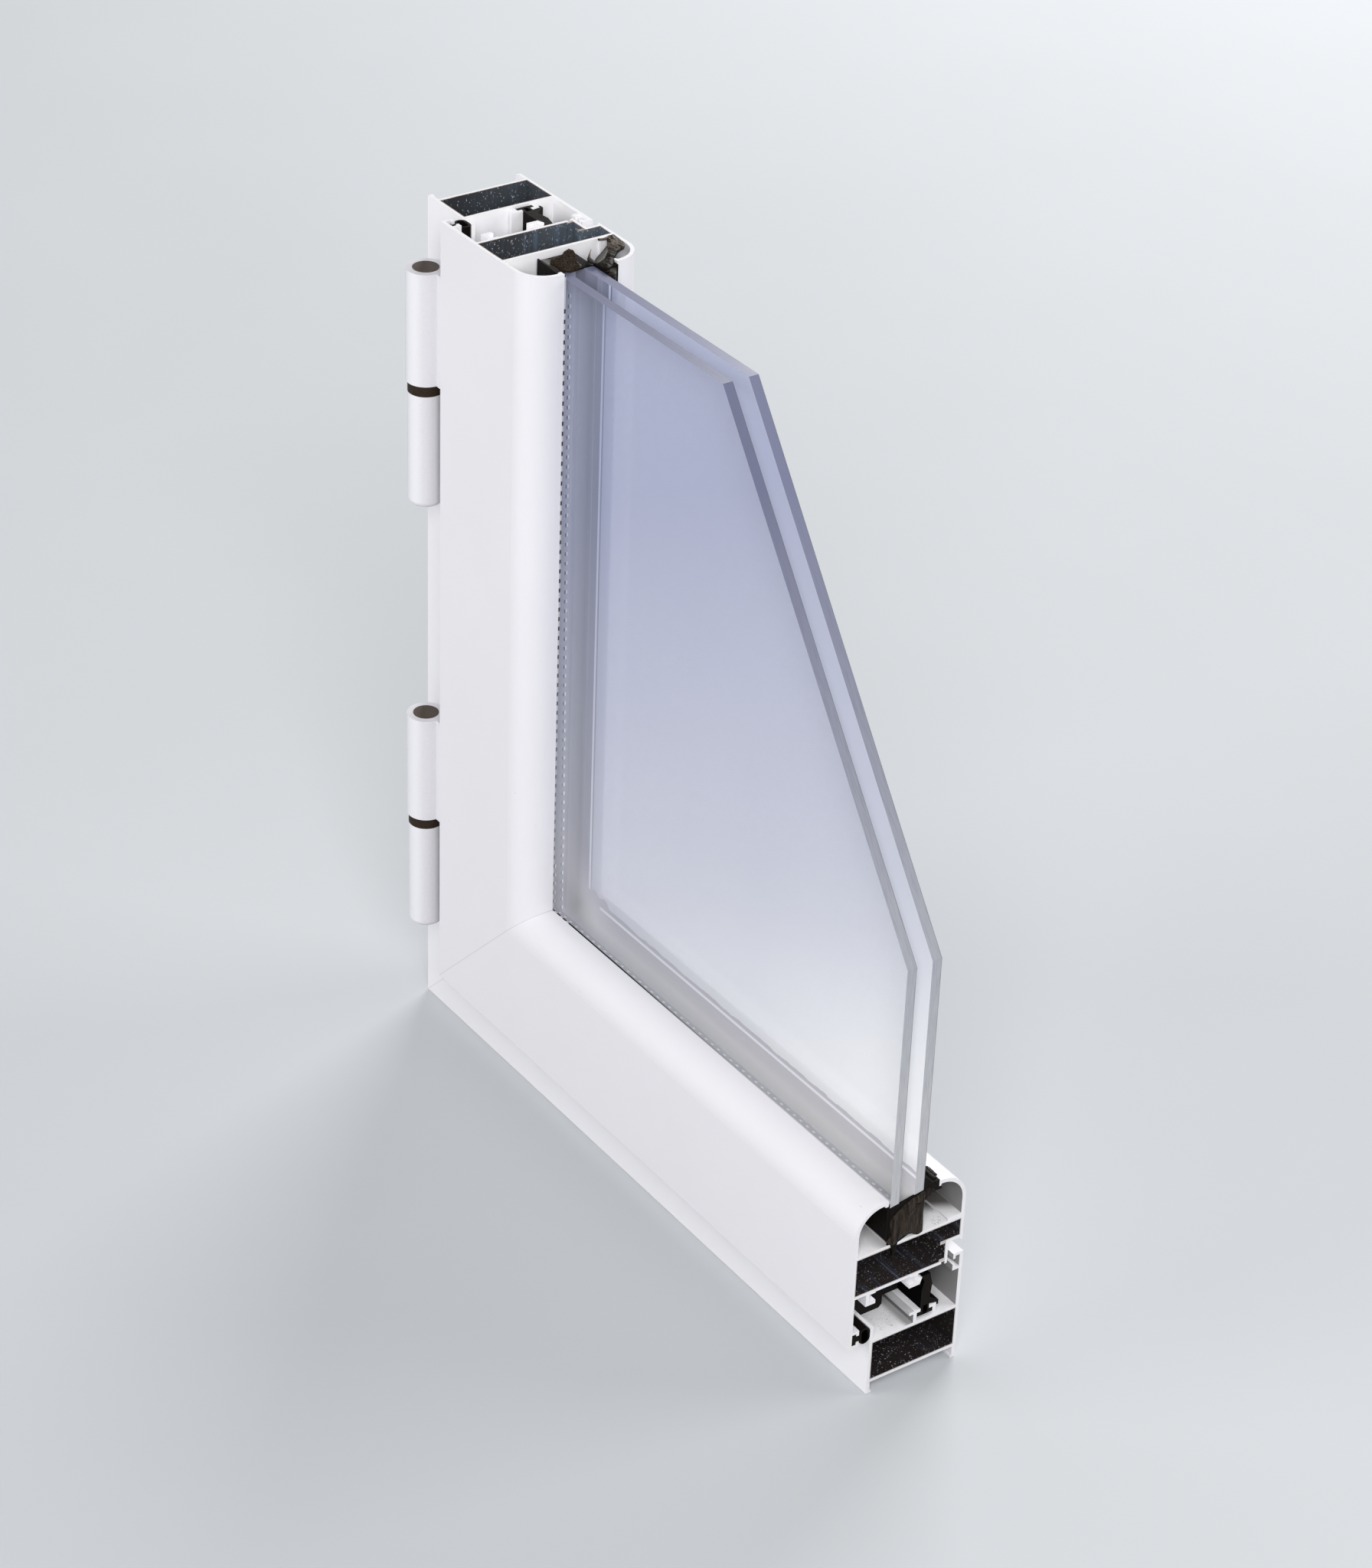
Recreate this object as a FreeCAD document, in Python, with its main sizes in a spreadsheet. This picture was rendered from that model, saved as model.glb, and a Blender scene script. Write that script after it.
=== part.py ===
import FreeCAD
import Part
import os
import Sketcher

# Corner sample of an aluminium tilt and turn window, millimetres, +Z up.
# Every section is drawn in two coordinates: u is the depth, measured away from the
# room-side face of the frame, and v is the distance in from the frame's outer edge.
# The sill members run along X with v upwards, the jamb members run along Z with v along X,
# and all of them meet on the 45 degree mitre through the outer bottom corner.
# The finished part has its origin under the middle of its own footprint, at floor level.

SIZES = {
    # lengths of the cut sample
    "sill_length": 300.0,
    "jamb_height": 350.0,
    "sash_overrun": 1.1,
    "mitre_span": 95.0,
    # walls shared by the extrusions
    "wall": 1.5,
    "thin_wall": 1.1,
    # outer frame section
    "frame_depth": 40.0,
    "foot_height": 5.0,
    "foot_lip_reach": 0.6,
    "foot_lip_height": 1.1,
    "frame_face": 24.3,
    "near_upstand": 30.1,
    "far_upstand": 48.4,
    "far_groove_floor": 41.0,
    "far_groove_lip_low": 43.7,
    "far_groove_lip_high": 46.1,
    "far_groove_reach": 4.4,
    "seal_rib_near": 19.3,
    "seal_rib_far": 27.9,
    "seal_rib_top": 29.4,
    "seal_rib_neck": 28.1,
    "seal_rib_flange": 1.9,
    "seal_rib_lip": 1.6,
    # sash section
    "sash_projection": 9.5,
    "sash_depth": 48.5,
    "flange_groove_reach": 4.5,
    "flange_groove_top": 31.3,
    "flange_slot_low": 26.6,
    "flange_slot_high": 29.2,
    "fittings_web": 47.8,
    "fittings_lip": 41.1,
    "fittings_near": 3.0,
    "fittings_far": 19.9,
    "fittings_lip_near": 1.3,
    "fittings_lip_far": 16.3,
    "fittings_spur": 22.0,
    "fittings_spur_top": 43.9,
    "pad_height": 0.5,
    "pad_near": 1.2,
    "chamber_leg": 32.8,
    "leg_tip": 45.9,
    "leg_notch": 30.2,
    "leg_notch_top": 47.2,
    "leg_step": 48.7,
    "leg_step_near": 29.0,
    "shelf_top": 56.7,
    "shelf_near": 29.0,
    "glazing_web": 65.1,
    "far_drip": 53.7,
    # rounded shoulders beside the glass
    "shoulder_radius": 11.5,
    "shoulder_top": 84.8,
    "near_lip": 4.2,
    "far_lip": 26.4,
    "lip_bead_depth": 2.3,
    "lip_bead_width": 1.3,
    "far_lip_width": 0.75,
    "bead_foot_reach": 6.0,
    # sealed unit
    "glass_near": 4.8,
    "pane_thickness": 4.0,
    "glass_cavity": 6.6,
    "glass_edge": 66.5,
    "glass_top_drop": 1.0,
    "glass_side_height": 181.5,
    "glass_top_run": 180.8,
    "spacer_edge": 68.4,
    "spacer_height": 6.4,
    "spacer_wall": 0.6,
    "block_length": 60.0,
    "block_start_rail": 110.0,
    "block_start_stile": 170.0,
    # central gasket
    "seal_clearance": 0.1,
    "seal_foot_low": 26.3,
    "seal_neck_near": 22.6,
    "seal_neck_far": 26.1,
    "seal_body_near": 22.2,
    "seal_body_top": 44.3,
    "seal_waist": 37.5,
    "seal_belly": 26.9,
    "seal_belly_height": 39.0,
    "seal_shoulder": 41.5,
    "seal_shoulder_near": 23.2,
    "seal_crest_near": 21.8,
    "seal_crest_far": 25.6,
    "flap_root": 33.2,
    "flap_tip": 28.3,
    "flap_thickness": 0.8,
    "seal_hollow_near": 23.5,
    "seal_hollow_far": 25.3,
    "seal_hollow_low": 27.4,
    "seal_hollow_high": 30.3,
    # overlap gasket
    "overlap_foot": 1.6,
    "overlap_neck": 4.3,
    "bulb_radius": 2.45,
    "bulb_middle": 27.8,
    "bulb_straight": 1.0,
    "bulb_hollow_radius": 1.35,
    "bulb_hollow_straight": 1.4,
    # glazing gaskets
    "near_seal_root": 67.0,
    "near_seal_thickness": 0.55,
    "near_seal_top": 84.9,
    "far_seal_root": 79.5,
    "far_seal_leg": 1.9,
    "far_seal_hook": 81.2,
    "far_seal_hook_reach": 1.4,
    "far_seal_lip": 88.6,
    "far_seal_lip_width": 0.9,
    "far_seal_top": 85.4,
    # block that holds sash and frame of the sample apart
    "packer_start": 246.5,
    "packer_length": 40.0,
    "packer_near": 2.0,
    "packer_side": 15.3,
    "packer_corner": 1.3,
    # corner cleats
    "cleat_arm": 75.0,
    "cleat_clearance": 0.2,
    "cleat_wall": 3.0,
    # hinges
    "hinge_axis_across": 11.6,
    "hinge_axis_forward": 7.95,
    "hinge_radius": 7.5,
    "lower_knuckle_radius": 6.85,
    "upper_hinge_drop": 22.0,
    "lower_hinge_top": 139.8,
    "upper_knuckle_height": 45.0,
    "lower_knuckle_height": 46.5,
    "ring_height": 4.4,
    "pin_radius": 3.0,
    "pin_clearance": 0.1,
    "pin_seat": 14.0,
    "cap_radius": 5.0,
    "cap_height": 2.4,
    "cap_proud": 0.15,
    "knuckle_round": 2.6,
    "leaf_thickness": 2.0,
    "leaf_width": 15.0,
    "leaf_start": 4.4,
    "tongue_near": 8.0,
    "tongue_far": 5.3,
    "leaf_margin": 3.0,
}

doc = FreeCAD.newDocument("window_corner")
sheet = doc.addObject("Spreadsheet::Sheet", "sizes")
for row, (word, millimetres) in enumerate(SIZES.items(), start=1):
    sheet.set("A%d" % row, word)
    sheet.set("B%d" % row, str(millimetres))
    sheet.setAlias("B%d" % row, word)
doc.recompute()

NODES = []


def number(formula):
    """Value of a formula of size names joined by +, -, * and /."""
    total = 0.0
    term = 0.0
    sign = 1.0
    action = "start"
    for word in formula.split():
        if word in ("+", "-"):
            total += sign * term
            term = 0.0
            sign = -1.0 if word == "-" else 1.0
            action = "start"
        elif word in ("*", "/"):
            action = word
        else:
            amount = SIZES[word] if word in SIZES else float(word)
            if action == "*":
                term *= amount
            elif action == "/":
                term /= amount
            else:
                term = amount
    return total + sign * term


def bound(formula):
    """The same formula written for the sheet."""
    return " ".join("sizes." + word if word in SIZES else word for word in formula.split())


def bind(piece, place, formula):
    piece.setExpression(place, bound(formula))


def body(label):
    piece = doc.addObject("PartDesign::Body", label)
    piece.Label = label
    bind(piece, "Placement.Base.x", "0 - sill_length / 2")
    bind(piece, "Placement.Base.y",
         "hinge_axis_forward / 2 + hinge_radius / 2 - frame_depth / 2")
    NODES.append(piece)
    return piece


def plane(piece, role):
    for feature in piece.Origin.OriginFeatures:
        if feature.Role == role:
            return feature
    raise ValueError("no plane " + role)


def sketch(piece, role, offset=None):
    drawing = piece.newObject("Sketcher::SketchObject", piece.Name + "_outline")
    drawing.AttachmentSupport = [(plane(piece, role), "")]
    drawing.MapMode = "FlatFace"
    if offset:
        bind(drawing, "AttachmentOffset.Base.z", offset)
    return drawing


def fix(drawing, kind, index, point, formula):
    """Holds one coordinate of a point at a distance from the sketch's origin."""
    rule = Sketcher.Constraint(kind, -1, 1, index, point, number(formula))
    place = drawing.addConstraint(rule)
    bind(drawing, "Constraints[%d]" % place, formula)


def polygon(drawing, corners):
    """Closed outline through corners, each a pair of formulas."""
    first = drawing.GeometryCount
    spots = [FreeCAD.Vector(number(a), number(b), 0) for a, b in corners]
    count = len(spots)
    for step in range(count):
        line = Part.LineSegment(spots[step], spots[(step + 1) % count])
        drawing.addGeometry(line, False)
    for step in range(count):
        after = first + (step + 1) % count
        drawing.addConstraint(Sketcher.Constraint("Coincident", first + step, 2, after, 1))
    for step, (across, up) in enumerate(corners):
        fix(drawing, "DistanceX", first + step, 1, across)
        fix(drawing, "DistanceY", first + step, 1, up)


def bar(drawing, near, far, low, high):
    """Rectangle between two depths and two distances from the edge."""
    polygon(drawing, [(near, low), (far, low), (far, high), (near, high)])


def disc(drawing, across, up, radius):
    first = drawing.GeometryCount
    middle = FreeCAD.Vector(number(across), number(up), 0)
    axis = FreeCAD.Vector(0, 0, 1)
    drawing.addGeometry(Part.Circle(middle, axis, number(radius)), False)
    fix(drawing, "DistanceX", first, 3, across)
    fix(drawing, "DistanceY", first, 3, up)
    place = drawing.addConstraint(Sketcher.Constraint("Radius", first, number(radius)))
    bind(drawing, "Constraints[%d]" % place, radius)


def arc(drawing, across, up, radius, begin, end):
    """Arc about a point, angles in quarter turns; its ends are held by the caller."""
    middle = FreeCAD.Vector(number(across), number(up), 0)
    circle = Part.Circle(middle, FreeCAD.Vector(0, 0, 1), number(radius))
    quarter = 1.5707963267948966
    drawing.addGeometry(Part.ArcOfCircle(circle, begin * quarter, end * quarter), False)
    first = drawing.GeometryCount - 1
    fix(drawing, "DistanceX", first, 3, across)
    fix(drawing, "DistanceY", first, 3, up)
    place = drawing.addConstraint(Sketcher.Constraint("Radius", first, number(radius)))
    bind(drawing, "Constraints[%d]" % place, radius)
    return first


def segment(drawing, start, end):
    drawing.addGeometry(Part.LineSegment(start, end), False)
    return drawing.GeometryCount - 1


def join(drawing, one, one_end, other, other_end):
    drawing.addConstraint(Sketcher.Constraint("Coincident", one, one_end, other, other_end))


def quarter_ring(drawing, across, up, outer, inner, turn):
    """Quarter of a ring: turn 0 lies right and above the middle, turn 1 left and above."""
    big = arc(drawing, across, up, outer, turn, turn + 1)
    small = arc(drawing, across, up, inner, turn, turn + 1)
    begin = segment(drawing, drawing.getPoint(small, 1), drawing.getPoint(big, 1))
    end = segment(drawing, drawing.getPoint(big, 2), drawing.getPoint(small, 2))
    join(drawing, small, 1, begin, 1)
    join(drawing, begin, 2, big, 1)
    join(drawing, big, 2, end, 1)
    join(drawing, end, 2, small, 2)
    level, upright = ("Horizontal", "Vertical") if turn == 0 else ("Vertical", "Horizontal")
    drawing.addConstraint(Sketcher.Constraint(level, begin))
    drawing.addConstraint(Sketcher.Constraint(upright, end))


def stadium(drawing, across, up, radius, straight):
    """Upright slot shape with rounded ends."""
    top = arc(drawing, across, up + " + " + straight, radius, 0, 2)
    low = arc(drawing, across, up + " - " + straight, radius, 2, 4)
    left = segment(drawing, drawing.getPoint(top, 2), drawing.getPoint(low, 1))
    right = segment(drawing, drawing.getPoint(low, 2), drawing.getPoint(top, 1))
    for one, one_end, other, other_end in (
            (top, 2, left, 1), (left, 2, low, 1), (low, 2, right, 1), (right, 2, top, 1)):
        rule = Sketcher.Constraint("Tangent", one, one_end, other, other_end)
        drawing.addConstraint(rule)


def pad(piece, drawing, length, reverse=False):
    growth = piece.newObject("PartDesign::Pad", piece.Name + "_pad")
    growth.Profile = drawing
    growth.Reversed = reverse
    bind(growth, "Length", length)
    drawing.Visibility = False
    return growth


def pocket(piece, drawing, depth, reverse=False, both=False):
    before = piece.Shape.Volume
    cut = piece.newObject("PartDesign::Pocket", piece.Name + "_pocket")
    cut.Profile = drawing
    cut.Reversed = reverse
    cut.Midplane = both
    bind(cut, "Length", depth)
    doc.recompute()
    if not piece.Shape.Volume < before:
        raise ValueError("the pocket in " + piece.Label + " removes nothing")
    return cut


def member(label, upright, length, layers):
    """Extruded member with its 45 degree mitre. The upright ones are drawn lying
    along -X and then turned a quarter about Y, so one section serves both."""
    piece = body(label)
    for shapes in layers:
        drawing = sketch(piece, "YZ_Plane")
        for shape in shapes:
            shape(drawing)
        pad(piece, drawing, length, upright)
    doc.recompute()
    edge = sketch(piece, "XZ_Plane")
    far = "0 - mitre_span" if upright else "mitre_span"
    polygon(edge, [("0", "0"), ("0", "mitre_span"), (far, "mitre_span")])
    pocket(piece, edge, "4 * frame_depth", both=True)
    if upright:
        piece.Placement.Rotation = FreeCAD.Rotation(FreeCAD.Vector(0, 1, 0), 90)
    return piece


def rod(*limits):
    return lambda drawing: bar(drawing, *limits)


def shape_of(*corners):
    return lambda drawing: polygon(drawing, corners)


# Outer frame: one closed chamber on two feet, a near and a far upstand
FRAME_FAR = "frame_depth - wall"
FRAME_FLOOR = "foot_height + wall"
FRAME_ROOF = "frame_face - wall"
FRAME = [
    [
        rod("0", "frame_depth", "foot_height", "frame_face"),
        rod("wall", FRAME_FAR, FRAME_FLOOR, FRAME_ROOF),
    ],
    [
        rod("0", "wall", "0", "foot_height"),
        rod(FRAME_FAR, "frame_depth", "0", "foot_height"),
        rod("0", "wall", "frame_face", "near_upstand"),
        rod(FRAME_FAR, "frame_depth", "frame_face", "far_upstand"),
        rod("seal_rib_near", "seal_rib_near + wall", "frame_face", "seal_rib_top"),
        rod("seal_rib_far", "seal_rib_far + wall", "frame_face", "seal_rib_top"),
    ],
    [
        rod("wall", "wall + foot_lip_reach", "0", "foot_lip_height"),
        rod(FRAME_FAR + " - foot_lip_reach", FRAME_FAR, "0", "foot_lip_height"),
        rod("seal_rib_near - seal_rib_flange", "seal_rib_near", "seal_rib_neck", "seal_rib_top"),
        rod("seal_rib_near + wall", "seal_rib_near + wall + seal_rib_lip",
            "seal_rib_neck", "seal_rib_top"),
        rod("seal_rib_far - seal_rib_lip", "seal_rib_far", "seal_rib_neck", "seal_rib_top"),
        shape_of(
            (FRAME_FAR, "far_groove_floor"),
            (FRAME_FAR, "far_groove_floor + thin_wall"),
            ("frame_depth - far_groove_reach + thin_wall", "far_groove_floor + thin_wall"),
            ("frame_depth - far_groove_reach + thin_wall", "far_groove_lip_low"),
            ("frame_depth - far_groove_reach", "far_groove_lip_low"),
            ("frame_depth - far_groove_reach", "far_groove_floor"),
        ),
        shape_of(
            (FRAME_FAR, "far_upstand"),
            (FRAME_FAR, "far_upstand - thin_wall"),
            ("frame_depth - far_groove_reach + thin_wall", "far_upstand - thin_wall"),
            ("frame_depth - far_groove_reach + thin_wall", "far_groove_lip_high"),
            ("frame_depth - far_groove_reach", "far_groove_lip_high"),
            ("frame_depth - far_groove_reach", "far_upstand"),
        ),
    ],
]
member("frame_sill", False, "sill_length", FRAME)
member("frame_jamb", True, "jamb_height", FRAME)

# Sash: one chamber with a far extension, the overlap flange and the fittings groove
SASH_NEAR = "0 - sash_projection"
SASH_INSIDE = "wall - sash_projection"
SASH_FAR = "sash_depth - sash_projection"
SASH_FAR_INSIDE = "sash_depth - sash_projection - wall"
WEB_UNDER = "fittings_web - wall"
SHOULDER_UP = "shoulder_top - shoulder_radius"
NEAR_SHOULDER = "shoulder_radius - sash_projection"
FAR_SHOULDER = "sash_depth - sash_projection - shoulder_radius"
SHOULDER_INSIDE = "shoulder_radius - wall"
SASH = [
    [
        shape_of(
            (SASH_NEAR, WEB_UNDER),
            ("leg_notch", WEB_UNDER),
            ("leg_notch", "leg_notch_top"),
            ("chamber_leg - thin_wall", "leg_notch_top"),
            ("chamber_leg - thin_wall", "leg_tip"),
            ("chamber_leg", "leg_tip"),
            ("chamber_leg", "shelf_top - wall"),
            (SASH_FAR_INSIDE, "shelf_top - wall"),
            (SASH_FAR, "far_drip"),
            (SASH_FAR, "glazing_web"),
            (SASH_NEAR, "glazing_web"),
        ),
        shape_of(
            (SASH_INSIDE, "fittings_web"),
            ("leg_step_near", "fittings_web"),
            ("leg_step_near", "leg_step"),
            ("chamber_leg - wall", "leg_step"),
            ("chamber_leg - wall", "shelf_top - wall"),
            ("shelf_near", "shelf_top - wall"),
            ("shelf_near", "shelf_top"),
            (SASH_FAR_INSIDE, "shelf_top"),
            (SASH_FAR_INSIDE, "glazing_web - wall"),
            (SASH_INSIDE, "glazing_web - wall"),
        ),
    ],
    [
        rod(SASH_NEAR, SASH_INSIDE, "frame_face", WEB_UNDER),
        rod(SASH_NEAR, SASH_INSIDE, "glazing_web", SHOULDER_UP),
        rod("0 - fittings_near", "wall - fittings_near", "fittings_lip", WEB_UNDER),
        rod("fittings_far - wall", "fittings_far", "fittings_lip", WEB_UNDER),
    ],
    [
        shape_of(
            (SASH_INSIDE, "frame_face"),
            ("flange_groove_reach - sash_projection", "frame_face"),
            ("flange_groove_reach - sash_projection", "flange_slot_low"),
            ("flange_groove_reach - thin_wall - sash_projection", "flange_slot_low"),
            ("flange_groove_reach - thin_wall - sash_projection", "frame_face + thin_wall"),
            (SASH_INSIDE, "frame_face + thin_wall"),
        ),
        shape_of(
            (SASH_INSIDE, "flange_groove_top"),
            ("flange_groove_reach - sash_projection", "flange_groove_top"),
            ("flange_groove_reach - sash_projection", "flange_slot_high"),
            ("flange_groove_reach - thin_wall - sash_projection", "flange_slot_high"),
            ("flange_groove_reach - thin_wall - sash_projection", "flange_groove_top - thin_wall"),
            (SASH_INSIDE, "flange_groove_top - thin_wall"),
        ),
        rod("wall - fittings_near", "fittings_lip_near", "fittings_lip", "fittings_lip + wall"),
        rod("fittings_lip_far", "fittings_far - wall", "fittings_lip", "fittings_lip + wall"),
        shape_of(
            ("fittings_far", "fittings_lip"),
            ("fittings_far + thin_wall", "fittings_lip"),
            ("fittings_spur", "fittings_spur_top"),
            ("fittings_spur - thin_wall", "fittings_spur_top"),
            ("fittings_far", "fittings_lip + wall"),
        ),
        rod("wall - fittings_near", "pad_near", WEB_UNDER + " - pad_height", WEB_UNDER),
        rod("fittings_lip_far", "fittings_far - wall", WEB_UNDER + " - pad_height", WEB_UNDER),
        lambda drawing: quarter_ring(drawing, NEAR_SHOULDER, SHOULDER_UP,
                                     "shoulder_radius", SHOULDER_INSIDE, 1),
    ],
    [
        shape_of(
            (NEAR_SHOULDER, "shoulder_top"),
            (NEAR_SHOULDER, "shoulder_top - wall"),
            ("near_lip - lip_bead_width", "shoulder_top - wall"),
            ("near_lip - lip_bead_width", "shoulder_top - lip_bead_depth"),
            ("near_lip", "shoulder_top - lip_bead_depth"),
            ("near_lip", "shoulder_top"),
        ),
    ],
]
member("sash_rail", False, "sill_length", SASH)
member("sash_stile", True, "jamb_height + sash_overrun", SASH)

# Glazing bead on the far side, standing on the sash's glazing web
BEAD = [
    [
        rod(SASH_FAR_INSIDE, SASH_FAR, "glazing_web", SHOULDER_UP),
    ],
    [
        rod(SASH_FAR_INSIDE + " - bead_foot_reach", SASH_FAR_INSIDE,
            "glazing_web", "glazing_web + thin_wall"),
        lambda drawing: quarter_ring(drawing, FAR_SHOULDER, SHOULDER_UP,
                                     "shoulder_radius", SHOULDER_INSIDE, 0),
    ],
    [
        shape_of(
            (FAR_SHOULDER, "shoulder_top"),
            ("far_lip", "shoulder_top"),
            ("far_lip", "shoulder_top - lip_bead_depth"),
            ("far_lip + far_lip_width", "shoulder_top - lip_bead_depth"),
            (FAR_SHOULDER, "shoulder_top - wall"),
        ),
    ],
]
member("bead_rail", False, "sill_length", BEAD)
member("bead_stile", True, "jamb_height + sash_overrun", BEAD)

# Central gasket: foot in the groove between the ribs, body up to the sash, flap over a rib
FLAP_NEAR = "seal_rib_far + wall + seal_clearance"
FLAP_UNDER = "seal_rib_top + seal_clearance"
CENTRAL = [
    [
        rod("seal_rib_near + wall + seal_clearance", "seal_rib_far - seal_clearance",
            "seal_foot_low", "seal_rib_neck - seal_clearance"),
    ],
    [
        shape_of(
            ("seal_neck_near", "seal_rib_neck - seal_clearance"),
            ("seal_neck_far", "seal_rib_neck - seal_clearance"),
            ("seal_neck_far", FLAP_UNDER + " + flap_thickness"),
            (FLAP_NEAR, FLAP_UNDER),
            (FLAP_NEAR, "flap_tip"),
            (FLAP_NEAR + " + flap_thickness", "flap_tip"),
            (FLAP_NEAR + " + flap_thickness", FLAP_UNDER + " + flap_thickness"),
            ("seal_neck_far", "flap_root"),
            ("seal_belly", "seal_belly_height"),
            ("seal_crest_far", "seal_body_top"),
            ("seal_crest_near", "seal_body_top"),
            ("seal_shoulder_near", "seal_shoulder"),
            ("seal_body_near", "seal_waist"),
            ("seal_body_near", FLAP_UNDER),
            ("seal_neck_near", FLAP_UNDER),
        ),
    ],
]
HOLLOW = [rod("seal_hollow_near", "seal_hollow_far", "seal_hollow_low", "seal_hollow_high")]


def hollow_member(label, upright, length, layers, holes):
    """Mitred member with a channel left open along its whole length."""
    piece = member(label, upright, length, layers)
    drawing = sketch(piece, "YZ_Plane")
    for shape in holes:
        shape(drawing)
    pocket(piece, drawing, "2 * " + length, both=True)
    return piece


hollow_member("central_seal_sill", False, "sill_length", CENTRAL, HOLLOW)
hollow_member("central_seal_jamb", True, "jamb_height", CENTRAL, HOLLOW)

# Overlap gasket: foot in the sash flange, hollow bulb against the frame's near wall
BULB_ACROSS = "0 - bulb_radius"
OVERLAP = [
    [
        lambda drawing: stadium(drawing, BULB_ACROSS, "bulb_middle", "bulb_radius", "bulb_straight"),
    ],
    [
        rod(SASH_INSIDE + " + seal_clearance", "0 - overlap_neck",
            "flange_slot_low + seal_clearance", "flange_slot_high - seal_clearance"),
    ],
    [
        rod(SASH_INSIDE + " + seal_clearance", SASH_INSIDE + " + overlap_foot",
            "frame_face + thin_wall + seal_clearance",
            "flange_groove_top - thin_wall - seal_clearance"),
    ],
]
BULB = [lambda drawing: stadium(drawing, BULB_ACROSS, "bulb_middle", "bulb_hollow_radius",
                                "bulb_hollow_straight")]
hollow_member("overlap_seal_rail", False, "sill_length", OVERLAP, BULB)
hollow_member("overlap_seal_stile", True, "jamb_height", OVERLAP, BULB)

# Near glazing gasket: a strip from the lip down the face of the glass
NEAR_SEAL = [
    [
        shape_of(
            ("glass_near", "near_seal_root"),
            ("glass_near", "near_seal_top"),
            ("near_lip", "near_seal_top"),
            ("near_lip", "shoulder_top - lip_bead_depth"),
            ("near_lip - near_seal_thickness", "shoulder_top - lip_bead_depth"),
            ("near_lip - near_seal_thickness", "far_seal_root"),
            ("glass_near - near_seal_thickness", "near_seal_root"),
        ),
    ],
]
member("near_glazing_seal_rail", False, "sill_length", NEAR_SEAL)
member("near_glazing_seal_stile", True, "jamb_height", NEAR_SEAL)

# Far glazing gasket: hooked under the bead's lip, with a lip beside the outer pane
GLASS_FAR = "glass_near + 2 * pane_thickness + glass_cavity"
FAR_SEAL_FACE = GLASS_FAR + " + seal_clearance"
FAR_SEAL = [
    [
        shape_of(
            (FAR_SEAL_FACE, "far_seal_root"),
            (FAR_SEAL_FACE + " + far_seal_leg", "far_seal_root"),
            (FAR_SEAL_FACE + " + 2 * far_seal_leg", "far_seal_hook"),
            ("far_lip + far_seal_hook_reach", "far_seal_hook"),
            ("far_lip + far_lip_width", "shoulder_top - lip_bead_depth"),
            ("far_lip", "shoulder_top - lip_bead_depth"),
            ("far_lip", "far_seal_top"),
            (FAR_SEAL_FACE + " + 2 * far_seal_leg", "far_seal_top"),
            (FAR_SEAL_FACE + " + far_seal_lip_width", "far_seal_lip"),
            (FAR_SEAL_FACE, "far_seal_lip"),
        ),
    ],
]
member("far_glazing_seal_rail", False, "sill_length", FAR_SEAL)
member("far_glazing_seal_stile", True, "jamb_height", FAR_SEAL)

# Sealed unit: hollow spacer bars and the sealant behind them
CAVITY_NEAR = "glass_near + pane_thickness"
CAVITY_FAR = "glass_near + pane_thickness + glass_cavity"
SPACER = [
    [
        rod(CAVITY_NEAR, CAVITY_FAR, "spacer_edge", "spacer_edge + spacer_height"),
        rod(CAVITY_NEAR + " + spacer_wall", CAVITY_FAR + " - spacer_wall",
            "spacer_edge + spacer_wall", "spacer_edge + spacer_height - spacer_wall"),
    ],
]
EDGE_SEAL = [[rod(CAVITY_NEAR, CAVITY_FAR, "glass_edge", "spacer_edge")]]
member("spacer_rail", False, "sill_length", SPACER)
member("spacer_stile", True, "jamb_height - glass_top_drop", SPACER)
member("edge_seal_rail", False, "sill_length", EDGE_SEAL)
member("edge_seal_stile", True, "jamb_height - glass_top_drop", EDGE_SEAL)


def slab(label, corners, near, thickness):
    """Flat piece parallel to the face of the window, from one depth towards the back."""
    piece = body(label)
    drawing = sketch(piece, "XZ_Plane", "0 - " + near.replace(" + ", " - "))
    polygon(drawing, corners)
    pad(piece, drawing, thickness, True)
    doc.recompute()
    return piece


GLASS_TOP = "jamb_height - glass_top_drop"
PANE = [
    ("glass_edge", "glass_edge"),
    ("sill_length", "glass_edge"),
    ("sill_length", "glass_side_height"),
    ("glass_top_run", GLASS_TOP),
    ("glass_edge", GLASS_TOP),
]
slab("glass_pane_near", PANE, "glass_near", "pane_thickness")
slab("glass_pane_far", PANE, CAVITY_FAR, "pane_thickness")

# Packers that carry the glass on the glazing web
UNIT_THICKNESS = "2 * pane_thickness + glass_cavity"
slab("setting_block_rail", [
    ("block_start_rail", "glazing_web"),
    ("block_start_rail + block_length", "glazing_web"),
    ("block_start_rail + block_length", "glass_edge"),
    ("block_start_rail", "glass_edge"),
], "glass_near", UNIT_THICKNESS)
slab("setting_block_stile", [
    ("glazing_web", "block_start_stile"),
    ("glass_edge", "block_start_stile"),
    ("glass_edge", "block_start_stile + block_length"),
    ("glazing_web", "block_start_stile + block_length"),
], "glass_near", UNIT_THICKNESS)


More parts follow.
